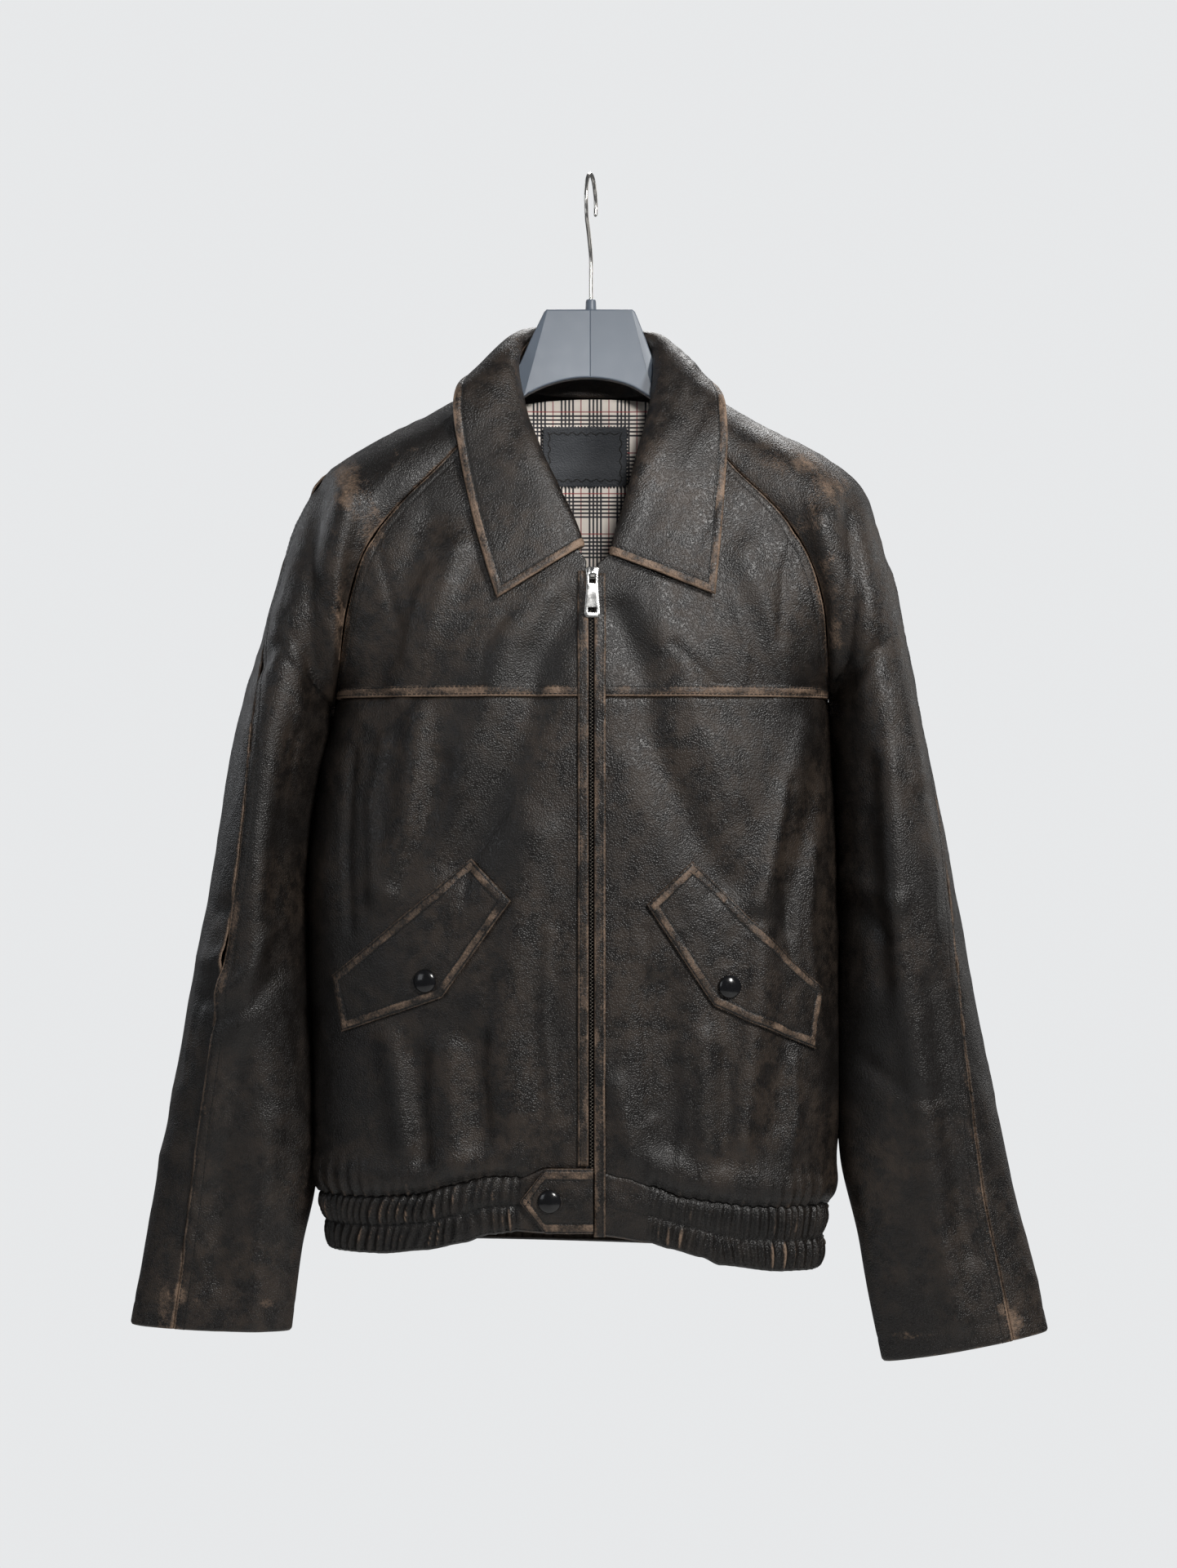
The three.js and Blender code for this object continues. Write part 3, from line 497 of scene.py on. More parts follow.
class Sheet:
    """A grid of points in millimetres with the distances to its edges, for shaping and masks."""

    def __init__(self, surface, nu, nv, core=None, crowd=(0.0, 0.0)):
        self.nu, self.nv = nu, nv
        self.mesh, places = grid_mesh(nu, nv)
        self.order = np.rint(places * (nu, nv)).astype(int)
        us, vs = np.meshgrid(crowded(nu, crowd[0]), crowded(nv, crowd[1]))
        self.u, self.v = us, vs
        self.points = surface(us, vs)
        self.normals = normals_of(self.points, core)
        steps_u = np.linalg.norm(np.diff(self.points, axis=1), axis=-1)
        steps_v = np.linalg.norm(np.diff(self.points, axis=0), axis=-1)
        zeros_u, zeros_v = np.zeros((nv + 1, 1)), np.zeros((1, nu + 1))
        self.from_left = np.hstack([zeros_u, np.cumsum(steps_u, axis=1)])
        self.from_bottom = np.vstack([zeros_v, np.cumsum(steps_v, axis=0)])
        self.to_right = self.from_left[:, -1:] - self.from_left
        self.to_top = self.from_bottom[-1:] - self.from_bottom
        self.masks = {}

    @property
    def x(self):
        return self.points[..., 0]

    @property
    def z(self):
        return self.points[..., 2]

    def lift(self, height):
        self.points = self.points + self.normals * np.broadcast_to(height, self.u.shape)[..., None]

    def edge(self, left=True, right=True, bottom=True, top=True):
        """Distance to the nearest of the edges asked for."""
        near = np.full(self.u.shape, 1e9)
        sides = (
            (left, self.from_left), (right, self.to_right), (bottom, self.from_bottom), (top, self.to_top)
        )
        for wanted, far in sides:
            if wanted:
                near = np.minimum(near, far)
        return near

    def mask(self, name, values):
        self.masks[name] = np.clip(np.broadcast_to(values, self.u.shape), 0, 1)

    def make(self, name, materials, wall=LEATHER, inner=None, rim=None):
        """The piece: the grid moved to its place, its UVs in decimetres, its wall grown inwards."""
        mesh, order = self.mesh, self.order
        mesh.name = name
        co = self.points[order[:, 1], order[:, 0]] * MM
        mesh.vertices.foreach_set("co", co.ravel())
        uv = mesh.uv_layers[0].uv
        flat = np.empty(len(mesh.loops) * 2)
        uv.foreach_get("vector", flat)
        places = np.rint(flat.reshape(-1, 2) * (self.nu, self.nv)).astype(int)
        across = self.from_left[places[:, 1], places[:, 0]] / 100
        down = self.from_bottom[places[:, 1], places[:, 0]] / 100
        uv.foreach_set("vector", np.stack([across, down], -1).ravel())
        for mask in ("wear", "shade"):
            values = self.masks.get(mask, np.zeros(self.u.shape))
            layer = mesh.attributes.new(mask, "FLOAT", "POINT")
            layer.data.foreach_set("value", values[order[:, 1], order[:, 0]].astype(np.float32))
        piece = bpy.data.objects.new(name, mesh)
        bpy.context.scene.collection.objects.link(piece)
        for material in materials:
            mesh.materials.append(material)
        outward = self.normals[self.nv // 2, self.nu // 2]
        mesh.update()
        centre = order[:, 0] == self.nu // 2
        nearest = np.nonzero(centre & (order[:, 1] == self.nv // 2))[0][0]
        if np.dot(np.array(mesh.vertices[int(nearest)].normal), outward) < 0:
            mesh.flip_normals()
        mesh.shade_smooth()
        if wall:
            solid = piece.modifiers.new("Wall", "SOLIDIFY")
            solid.thickness = wall * MM
            solid.offset = -1
            solid.use_quality_normals = True
            if inner is not None:
                solid.material_offset = inner
            if rim is not None:
                solid.material_offset_rim = rim
        return piece


def finish_piece(piece, body=BODY, replaces=()):
    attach(piece, body)
    if replaces:
        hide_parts(*replaces)
    return piece


# ---------- Shader node groups ----------


def value_node(tree, kind, **settings):
    node = tree.nodes.new(kind)
    for name, value in settings.items():
        setattr(node, name, value)
    return node


def math_node(tree, operation, a, b=None, clamp=False):
    node = value_node(tree, "ShaderNodeMath", operation=operation, use_clamp=clamp)
    for socket, value in zip(node.inputs, (a, b)):
        if value is None:
            continue
        if isinstance(value, (int, float)):
            socket.default_value = value
        else:
            tree.links.new(value, socket)
    return node.outputs[0]


def mix_color(tree, factor, a, b, blend="MIX"):
    node = value_node(tree, "ShaderNodeMix", data_type="RGBA", blend_type=blend)
    for index, value in ((0, factor), (6, a), (7, b)):
        if isinstance(value, (int, float)):
            node.inputs[index].default_value = value
        elif isinstance(value, tuple):
            node.inputs[index].default_value = (*value, 1.0)
        else:
            tree.links.new(value, node.inputs[index])
    return node.outputs[2]


def noise_node(tree, vector, scale, detail=3.0, roughness=0.55, distortion=0.0):
    node = value_node(tree, "ShaderNodeTexNoise")
    node.inputs["Scale"].default_value = scale
    node.inputs["Detail"].default_value = detail
    node.inputs["Roughness"].default_value = roughness
    node.inputs["Distortion"].default_value = distortion
    tree.links.new(vector, node.inputs["Vector"])
    return node.outputs["Fac"]


def ramp(tree, value, low, high, to_low=0.0, to_high=1.0):
    """A value stretched so that low becomes to_low and high becomes to_high."""
    node = value_node(tree, "ShaderNodeMapRange", interpolation_type="SMOOTHSTEP")
    tree.links.new(value, node.inputs["Value"])
    for name, number in (("From Min", low), ("From Max", high), ("To Min", to_low), ("To Max", to_high)):
        node.inputs[name].default_value = number
    return node.outputs["Result"]


def new_group(name, inputs, outputs):
    """A shader node group with named sockets: (name, type, default)."""
    group = bpy.data.node_groups.new(name, "ShaderNodeTree")
    for label, kind, default in inputs:
        socket = group.interface.new_socket(label, in_out="INPUT", socket_type=kind)
        if default is not None:
            socket.default_value = default
    for label, kind in outputs:
        group.interface.new_socket(label, in_out="OUTPUT", socket_type=kind)
    return group, group.nodes.new("NodeGroupInput"), group.nodes.new("NodeGroupOutput")


def leather_grain_group():
    """Pebbled grain with fine creases, as a height from 0 to 1."""
    group, inside, outside = new_group(
        "Leather grain",
        [("Vector", "NodeSocketVector", None), ("Creases", "NodeSocketFloat", 0.5)],
        [("Height", "NodeSocketFloat")],
    )
    vector = inside.outputs["Vector"]
    warp = value_node(group, "ShaderNodeTexNoise")
    warp.inputs["Scale"].default_value = 420.0
    group.links.new(vector, warp.inputs["Vector"])
    bent = value_node(group, "ShaderNodeVectorMath", operation="MULTIPLY_ADD")
    group.links.new(warp.outputs["Color"], bent.inputs[0])
    bent.inputs[1].default_value = (0.0007, 0.0007, 0.0007)
    group.links.new(vector, bent.inputs[2])
    pebble = value_node(group, "ShaderNodeTexVoronoi", feature="SMOOTH_F1")
    pebble.inputs["Scale"].default_value = 900.0
    pebble.inputs["Smoothness"].default_value = 0.5
    group.links.new(bent.outputs[0], pebble.inputs["Vector"])
    pebbles = ramp(group, pebble.outputs["Distance"], 0.1, 0.75, 1.0, 0.0)
    crease = value_node(group, "ShaderNodeTexVoronoi", feature="DISTANCE_TO_EDGE")
    crease.inputs["Scale"].default_value = 190.0
    group.links.new(bent.outputs[0], crease.inputs["Vector"])
    creases = ramp(group, crease.outputs["Distance"], 0.0, 0.09, 1.0, 0.0)
    patchy = ramp(group, noise_node(group, vector, 26.0, 2.0), 0.42, 0.62)
    folds = math_node(
        group, "MULTIPLY", math_node(group, "MULTIPLY", creases, patchy), inside.outputs["Creases"]
    )
    soft = noise_node(group, vector, 210.0, 3.0)
    height = math_node(
        group, "ADD", math_node(group, "MULTIPLY", pebbles, 0.6), math_node(group, "MULTIPLY", soft, 0.45)
    )
    group.links.new(math_node(group, "SUBTRACT", height, folds), outside.inputs["Height"])
    return group


def rubbed_group():
    """How far the finish is rubbed off, from a mask broken up by streaks and specks."""
    group, inside, outside = new_group(
        "Rubbed finish",
        [("Vector", "NodeSocketVector", None), ("Mask", "NodeSocketFloat", 0.0)],
        [("Rubbed", "NodeSocketFloat"), ("Specks", "NodeSocketFloat")],
    )
    vector = inside.outputs["Vector"]
    coarse = noise_node(group, vector, 85.0, 6.0, 0.75)
    fine = noise_node(group, vector, 520.0, 4.0, 0.7)
    broken = math_node(
        group, "ADD", math_node(group, "MULTIPLY", coarse, 1.0), math_node(group, "MULTIPLY", fine, 0.9)
    )
    reach = math_node(group, "ADD", inside.outputs["Mask"], math_node(group, "SUBTRACT", broken, 0.95))
    rubbed = ramp(group, reach, 0.22, 0.95)
    zero_where_none = ramp(group, inside.outputs["Mask"], 0.02, 0.2)
    group.links.new(math_node(group, "MULTIPLY", rubbed, zero_where_none), outside.inputs["Rubbed"])
    specks = ramp(group, math_node(group, "MULTIPLY", coarse, fine), 0.3, 0.42)
    group.links.new(specks, outside.inputs["Specks"])
    return group


def placed(tree, group):
    node = tree.nodes.new("ShaderNodeGroup")
    node.node_tree = group
    return node


def new_material(name, roughness, metallic=0.0, specular=0.5):
    material = bpy.data.materials.new(name)
    material.use_nodes = True
    tree = material.node_tree
    shader = tree.nodes["Principled BSDF"]
    shader.inputs["Roughness"].default_value = roughness
    shader.inputs["Metallic"].default_value = metallic
    shader.inputs["Specular IOR Level"].default_value = specular
    coordinates = tree.nodes.new("ShaderNodeTexCoord")
    return material, tree, shader, coordinates


def bump(tree, shader, height, strength, distance):
    node = value_node(tree, "ShaderNodeBump")
    node.inputs["Strength"].default_value = strength
    node.inputs["Distance"].default_value = distance
    tree.links.new(height, node.inputs["Height"])
    tree.links.new(node.outputs["Normal"], shader.inputs["Normal"])


def leather_material(name, groups, dark, brown, rubbed, creases=0.12, roughness=0.44):
    """Leather whose dark finish is mottled with brown, rubbed through where the wear mask is, and darkened by
    painted shade where the shade mask is.
    """
    material, tree, shader, coordinates = new_material(name, roughness, specular=0.5)
    vector = coordinates.outputs["Object"]
    wear = value_node(tree, "ShaderNodeAttribute", attribute_name="wear")
    shade = value_node(tree, "ShaderNodeAttribute", attribute_name="shade")
    worn = placed(tree, groups["rubbed"])
    tree.links.new(vector, worn.inputs["Vector"])
    tree.links.new(wear.outputs["Fac"], worn.inputs["Mask"])
    cloud = ramp(tree, noise_node(tree, vector, 10.0, 5.0, 0.62, 0.4), 0.34, 0.62)
    mottle = ramp(tree, noise_node(tree, vector, 60.0, 7.0, 0.74), 0.38, 0.62)
    tone = math_node(tree, "MULTIPLY", cloud, mottle, clamp=True)
    base = mix_color(tree, math_node(tree, "MULTIPLY", tone, 0.9), dark, brown)
    # Painted shade: the shade mask darkens the colour along seams, stitch rows and between gathers.
    with_painted_shade = mix_color(
        tree, math_node(tree, "MULTIPLY", shade.outputs["Fac"], 0.8), base, tuple(c * 0.35 for c in dark)
    )
    speckled = mix_color(tree, math_node(tree, "MULTIPLY", worn.outputs["Specks"], 0.25), with_painted_shade, brown)
    tan = tuple(0.42 * c for c in rubbed)
    browned = mix_color(tree, ramp(tree, worn.outputs["Rubbed"], 0.0, 0.5), speckled, tan)
    color = mix_color(tree, ramp(tree, worn.outputs["Rubbed"], 0.45, 1.0), browned, rubbed)
    tree.links.new(color, shader.inputs["Base Color"])
    grain = placed(tree, groups["grain"])
    grain.inputs["Creases"].default_value = creases
    tree.links.new(vector, grain.inputs["Vector"])
    gloss = math_node(
        tree, "ADD", math_node(tree, "MULTIPLY", worn.outputs["Rubbed"], 0.25), roughness - 0.07
    )
    gloss = math_node(tree, "ADD", gloss, math_node(tree, "MULTIPLY", mottle, 0.14))
    tree.links.new(gloss, shader.inputs["Roughness"])
    bump(tree, shader, grain.outputs["Height"], 0.8, 0.0005)
    return material


def stripe_group():
    """A set of thin dark lines and one red line in each repeat of a check, along one direction."""
    group, inside, outside = new_group(
        "Check stripes",
        [
            ("Place", "NodeSocketFloat", 0.0), ("Repeat", "NodeSocketFloat", 0.021),
            ("Set", "NodeSocketFloat", 0.0099),
        ],
        [("Dark", "NodeSocketFloat"), ("Red", "NodeSocketFloat")],
    )
    turns = math_node(group, "DIVIDE", inside.outputs["Place"], inside.outputs["Repeat"])
    share = math_node(group, "FRACT", turns)
    place = math_node(group, "MULTIPLY", share, inside.outputs["Repeat"])
    spacing, width = 0.0029, 0.0014
    in_line = math_node(group, "LESS_THAN", math_node(group, "MODULO", place, spacing), width)
    in_set = math_node(group, "LESS_THAN", place, inside.outputs["Set"])
    group.links.new(math_node(group, "MULTIPLY", in_line, in_set), outside.inputs["Dark"])
    middle = math_node(group, "ADD", math_node(group, "MULTIPLY", inside.outputs["Set"], 0.5), 0.0104)
    near = math_node(group, "ABSOLUTE", math_node(group, "SUBTRACT", place, middle))
    group.links.new(math_node(group, "LESS_THAN", near, 0.0005), outside.inputs["Red"])
    return group


def lining_material(stripes):
    material, tree, shader, coordinates = new_material("Plaid lining", 0.72, specular=0.35)
    shader.inputs["Sheen Weight"].default_value = 0.25
    parts = value_node(tree, "ShaderNodeSeparateXYZ")
    tree.links.new(coordinates.outputs["Object"], parts.inputs[0])
    color = (0.92, 0.83, 0.74)
    ground = None
    for axis, repeat, dark_set, start in (("X", 0.0213, 0.0101, 1.0028), ("Z", 0.0305, 0.0159, 1.0125)):
        node = placed(tree, stripes)
        place = math_node(tree, "ADD", parts.outputs[axis], start)
        tree.links.new(place, node.inputs["Place"])
        node.inputs["Repeat"].default_value = repeat
        node.inputs["Set"].default_value = dark_set
        dark = math_node(tree, "MULTIPLY", node.outputs["Dark"], 0.97)
        red = math_node(tree, "MULTIPLY", node.outputs["Red"], 0.75)
        ground = mix_color(tree, dark, color if ground is None else ground, (0.02, 0.02, 0.026))
        ground = mix_color(tree, red, ground, (0.32, 0.03, 0.035))
    tree.links.new(ground, shader.inputs["Base Color"])
    weave = value_node(tree, "ShaderNodeTexWave", wave_type="BANDS", bands_direction="DIAGONAL")
    weave.inputs["Scale"].default_value = 520.0
    tree.links.new(coordinates.outputs["Object"], weave.inputs["Vector"])
    bump(tree, shader, weave.outputs["Fac"], 0.25, 0.0002)
    return material


def patch_material(grain):
    """The near-black label patch."""
    material, tree, shader, coordinates = new_material("Label patch", 0.62, specular=0.4)
    cloud = noise_node(tree, coordinates.outputs["Object"], 90.0, 4.0)
    tree.links.new(
        mix_color(tree, cloud, (0.022, 0.024, 0.028), (0.038, 0.041, 0.046)), shader.inputs["Base Color"]
    )
    node = placed(tree, grain)
    tree.links.new(coordinates.outputs["Object"], node.inputs["Vector"])
    bump(tree, shader, node.outputs["Height"], 0.7, 0.0004)
    return material


def plain_material(name, color, other, roughness, metallic, scale, strength, specular=0.5, uneven=0.2):
    """A moulded, plated or spun surface: two near colours in soft clouds and a faint unevenness."""
    material, tree, shader, coordinates = new_material(name, roughness, metallic, specular)
    vector = coordinates.outputs["Object"]
    cloud = noise_node(tree, vector, scale, 4.0)
    tree.links.new(mix_color(tree, cloud, color, other), shader.inputs["Base Color"])
    tree.links.new(
        ramp(
            tree, noise_node(tree, vector, scale * 4, 3.0), 0.3, 0.7, roughness * (1 - uneven),
            roughness * (1 + uneven),
        ),
        shader.inputs["Roughness"],
    )
    bump(tree, shader, noise_node(tree, vector, scale * 9, 2.0), strength, 0.0002)
    return material


MATERIALS = {}


def make_materials(look):
    """Every finish, built once, with the colours that the panel offers."""
    groups = {"grain": leather_grain_group(), "rubbed": rubbed_group()}
    dark, brown, rubbed = tuple(look.dark)[:3], tuple(look.brown)[:3], tuple(look.rubbed)[:3]
    MATERIALS.update(
        leather=leather_material("Worn leather", groups, dark, brown, rubbed),
        suede=plain_material(
            "Leather inside", (0.05, 0.04, 0.033), (0.09, 0.072, 0.058), 0.9, 0.0, 60.0, 0.5, 0.2
        ),
        lining=lining_material(stripe_group()),
        patch=patch_material(groups["grain"]),
        thread=plain_material(
            "Dark thread", (0.003, 0.003, 0.003), (0.008, 0.007, 0.006), 0.7, 0.0, 900.0, 0.3
        ),
        tape=plain_material("Zip tape", (0.008, 0.008, 0.01), (0.02, 0.02, 0.024), 0.85, 0.0, 700.0, 0.4),
        nickel=plain_material("Bright nickel", (0.74, 0.73, 0.70), (0.66, 0.65, 0.63), 0.2, 1.0, 60.0, 0.04),
        wire=plain_material("Hook nickel", (0.70, 0.68, 0.64), (0.6, 0.58, 0.55), 0.22, 1.0, 60.0, 0.05),
        snap=plain_material(
            "Black lacquer", (0.004, 0.004, 0.005), (0.007, 0.007, 0.008), 0.2, 0.0, 120.0, 0.0, 0.6
        ),
        teeth=plain_material("Aged teeth", (0.2, 0.18, 0.15), (0.1, 0.09, 0.08), 0.45, 1.0, 500.0, 0.1),
        hanger=plain_material(
            "Grey moulding", (0.092, 0.112, 0.14), (0.084, 0.102, 0.128), 0.42, 0.0, 30.0, 0.0, uneven=0.03
        ),
    )


# ---------- Stitches ----------


def stitch_template():
    """One short thread, lying along X, as points and faces."""
    bm = bmesh.new()
    bmesh.ops.create_uvsphere(bm, u_segments=6, v_segments=4, radius=1.0)
    bmesh.ops.rotate(bm, verts=bm.verts, cent=(0, 0, 0), matrix=Matrix.Rotation(math.radians(90), 3, "Y"))
    bmesh.ops.scale(bm, verts=bm.verts, vec=(1.25, 0.34, 0.3))
    bm.verts.index_update()
    points = np.array([v.co[:] for v in bm.verts])
    faces = [[v.index for v in f.verts] for f in bm.faces]
    bm.free()
    return points, faces


def resample(line, pitch, values=None):
    """Places a pitch apart on a line of points, or the values there of what the line carries."""
    line = np.asarray(line, float)
    values = line if values is None else np.asarray(values, float)
    steps = np.linalg.norm(np.diff(line, axis=0), axis=1)
    length = np.concatenate([[0], np.cumsum(steps)])
    count = max(int(length[-1] // pitch), 2)
    at = (np.arange(count) + 0.5) * length[-1] / count
    return np.stack([np.interp(at, length, values[:, k]) for k in range(3)], -1)


def add_stitches(name, rows, pitch, size, body=BODY, material="thread"):
    """Threads along rows of (points, normals), joined into one piece."""
    template, faces = stitch_template()
    points, all_faces = [], []
    for line, normals in rows:
        centres = resample(line, pitch)
        ups = resample(line, pitch, normals)
        runs = np.gradient(centres, axis=0)
        runs /= np.maximum(np.linalg.norm(runs, axis=1, keepdims=True), 1e-9)
        ups -= runs * np.sum(runs * ups, axis=1, keepdims=True)
        ups /= np.maximum(np.linalg.norm(ups, axis=1, keepdims=True), 1e-9)
        asides = np.cross(ups, runs)
        for centre, run, aside, up in zip(centres, runs, asides, ups):
            shift = len(points) * len(template)
            points.append(
                centre + size * (template[:, :1] * run + template[:, 1:2] * aside + template[:, 2:] * up)
            )
            all_faces += [[i + shift for i in face] for face in faces]
    mesh = bpy.data.meshes.new(name)
    mesh.from_pydata(np.concatenate(points) * MM, [], all_faces)
    mesh.shade_smooth()
    mesh.materials.append(MATERIALS[material])
    piece = bpy.data.objects.new(name, mesh)
    bpy.context.scene.collection.objects.link(piece)
    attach(piece, body)
    return piece


def row_along(sheet, far, value, axis="u", start=0.0, end=1.0):
    """The line on a sheet where a distance reaches a value, with its normals, running along u or v."""
    line, ups = [], []
    count = sheet.nu if axis == "u" else sheet.nv
    for k in range(int(start * count), int(end * count) + 1):
        pick = (slice(None), k) if axis == "u" else (k, slice(None))
        order = np.argsort(far[pick])
        d = far[pick][order]
        if d[-1] < value:
            continue
        line.append([np.interp(value, d, sheet.points[pick][order, c]) for c in range(3)])
        ups.append([np.interp(value, d, sheet.normals[pick][order, c]) for c in range(3)])
    return np.array(line), np.array(ups)


# ---------- Shaping shared by the panels ----------


def rounded(far, reach=2.4, depth=0.9):
    """How far a turned edge dips, at distances from it."""
    t = np.clip(1 - far / reach, 0, 1)
    return -depth * (1 - np.sqrt(np.maximum(1 - t * t, 0))) - 0.6 * depth * np.clip(-far, 0, 1)


def channel(far, at, width=0.9, depth=0.4):
    """The groove that a row of stitches pulls."""
    return -depth * np.exp(-(((far - at) / width) ** 2))


def gather(place, seed, pitch=9.5):
    """Irregular ridges from 0 to 1 across gathered cloth."""
    bent = place / pitch + 0.5 * noise(place / 17, place * 0 + 0.5, seed)
    wave = 0.5 + 0.5 * np.sin(2 * np.pi * bent)
    small = 0.5 + 0.5 * np.sin(4 * np.pi * bent + 2.0 * noise(place / 23, place * 0 + 7.5, seed + 4))
    height = 0.7 + 0.3 * noise(place / 11, place * 0 + 3.5, seed + 2)
    return (0.78 * np.power(wave, 1.2) + 0.22 * small) * height


WEAR_PATCHES = [
    (-178, -236, 20, 30, 0.6),
    (-184, -335, 7, 34, 0.6),
    (-160, -266, 12, 26, 0.45),
    (-192, -268, 12, 30, 0.42),
    (-140, -214, 24, 12, 0.3),
    (152, -216, 30, 14, 0.55),
    (176, -236, 20, 18, 0.58),
    (164, -262, 20, 14, 0.5),
    (172, -304, 10, 24, 0.55),
    (178, -350, 6, 34, 0.5),
    (-316, -838, 7, 18, 0.75),
    (-304, -832, 10, 8, 0.55),
    (-292, -836, 7, 6, 0.5),
    (-240, -838, 13, 5, 0.45),
    (315, -850, 7, 14, 0.7),
    (304, -842, 10, 6, 0.4),
    (240, -862, 22, 4, 0.5),
    (-262, -560, 12, 60, 0.22),
    (236, -600, 12, 70, 0.22),
]


def patches(x, z):
    mask = np.zeros(np.shape(x))
    for px, pz, rx, rz, strength in WEAR_PATCHES:
        streak = 0.6 * noise((x + 0.5 * z) / 4, (z - 0.5 * x) / 15, 7) + 0.3 * noise(x / 13, z / 9, 8)
        r = ((x - px) / rx) ** 2 + ((z - pz) / rz) ** 2
        mask = np.maximum(mask, (strength + 0.5 * strength * streak) * np.exp(-r))
    return mask


def edge_wear(far, reach=2.2, strength=0.75):
    return strength * np.exp(-((np.maximum(far, 0) / reach) ** 2))


def make_piece(sheet, name, material="leather", wall=LEATHER, inner="suede", replaces=()):
    materials = [MATERIALS[finish] for finish in (material, inner) if finish]
    piece = sheet.make(name, materials, wall, inner=1 if inner else None)
    return finish_piece(piece, BODY, replaces)


# ---------- Relief of the leather ----------


def wrinkles(a, b, seed, height=0.5, across=16.0, down=26.0):
    """Soft crumpled leather from -height to height over distances a and b."""
    bent = a / across + 0.8 * noise(a / 40, b / 40, seed + 3)
    ridge = 1 - 2 * np.abs(noise(bent, b / down, seed))
    return height * ridge * (0.55 + 0.45 * noise(a / 60, b / 60, seed + 8))


SMALL_FRONT = [
    (-1.6, 4.0, [(-162, -262), (-150, -300), (-141, -338)]),
    (1.6, 4.5, [(-116, -300), (-128, -330), (-134, -362)]),
    (-1.4, 3.5, [(-60, -330), (-76, -352), (-80, -382)]),
    (-1.6, 4.0, [(150, -262), (140, -304), (137, -350)]),
    (1.5, 4.0, [(104, -322), (112, -352), (110, -384)]),
    (-1.8, 4.0, [(60, -352), (82, -374), (96, -388)]),
    (1.6, 4.5, [(-150, -420), (-160, -470), (-158, -540)]),
    (-1.8, 4.0, [(-174, -430), (-178, -500), (-176, -560)]),
    (-1.5, 3.5, [(-60, -470), (-84, -506), (-92, -540)]),
    (1.6, 4.0, [(-30, -560), (-34, -620), (-28, -690)]),
    (-1.7, 4.0, [(-72, -600), (-80, -660), (-74, -716)]),
    (1.5, 4.0, [(-112, -650), (-116, -690), (-112, -726)]),
    (-1.6, 4.0, [(148, -452), (140, -520), (146, -580)]),
    (1.6, 4.0, [(164, -500), (160, -560), (166, -620)]),
    (-1.6, 4.0, [(40, -560), (38, -620), (44, -690)]),
    (1.5, 4.0, [(66, -640), (70, -690), (64, -730)]),
    (-1.6, 4.0, [(98, -650), (100, -700), (96, -730)]),
    (1.6, 4.0, [(148, -656), (150, -700), (144, -732)]),
]


def calm(x):
    """0 at the zip and 1 away from it, so that the strips lie flat."""
    return smooth((np.abs(x) - 10) / 18)


def front_relief(x, z):
    low = wrinkles(x, z, 11, 0.75, 30, 80) + wrinkles(x + 0.2 * z, z, 12, 0.2, 12, 40)
    return calm(x) * (low + 0.9 * fold_height(SMALL_FRONT, x, z)) + 0.2 * noise(x / 20, z / 26, 4)


def back_relief(x, z):
    low = wrinkles(x, z, 21, 0.9, 34, 60) + wrinkles(x - 0.3 * z, z, 22, 0.4, 12, 24)
    return low + 0.3 * noise(x / 18, z / 18, 24)


def blouson(from_bottom, place, seed, pitch):
    """The panel's foot: it swells over the waistband, then tucks in with small gathers."""
    swell = 3.5 * np.exp(-(((from_bottom - 16) / 13) ** 2)) - 3.2 * np.exp(-((from_bottom / 5.0) ** 2))
    ridges = gather(place, seed, pitch) - 0.45
    longer = 15 + 13 * np.abs(noise(place / 19, place * 0 + 1.5, seed + 7))
    return swell + 4.2 * ridges * np.exp(-((from_bottom / longer) ** 2))


def seam_shape(far, rows=(), reach=2.4, depth=0.9):
    height = rounded(far, reach, depth)
    for at in rows:
        height = height + channel(far, at)
    return height


def painted_shade_rows(far, rows, width=0.85):
    """Painted shade along rows at distances from an edge, darkening the colour where stitch rows and seams sit.
    """
    return sum(0.9 * np.exp(-(((far - at) / width) ** 2)) for at in rows)


def puckers(place, far, seed, reach=9.0, height=0.35, pitch=7.0):
    """Little pulls across a stitched seam."""
    pull = noise(place / pitch, place * 0 + seed, seed)
    return height * pull * np.exp(-((far / reach) ** 2))


# ---------- Fronts, back and waistband ----------


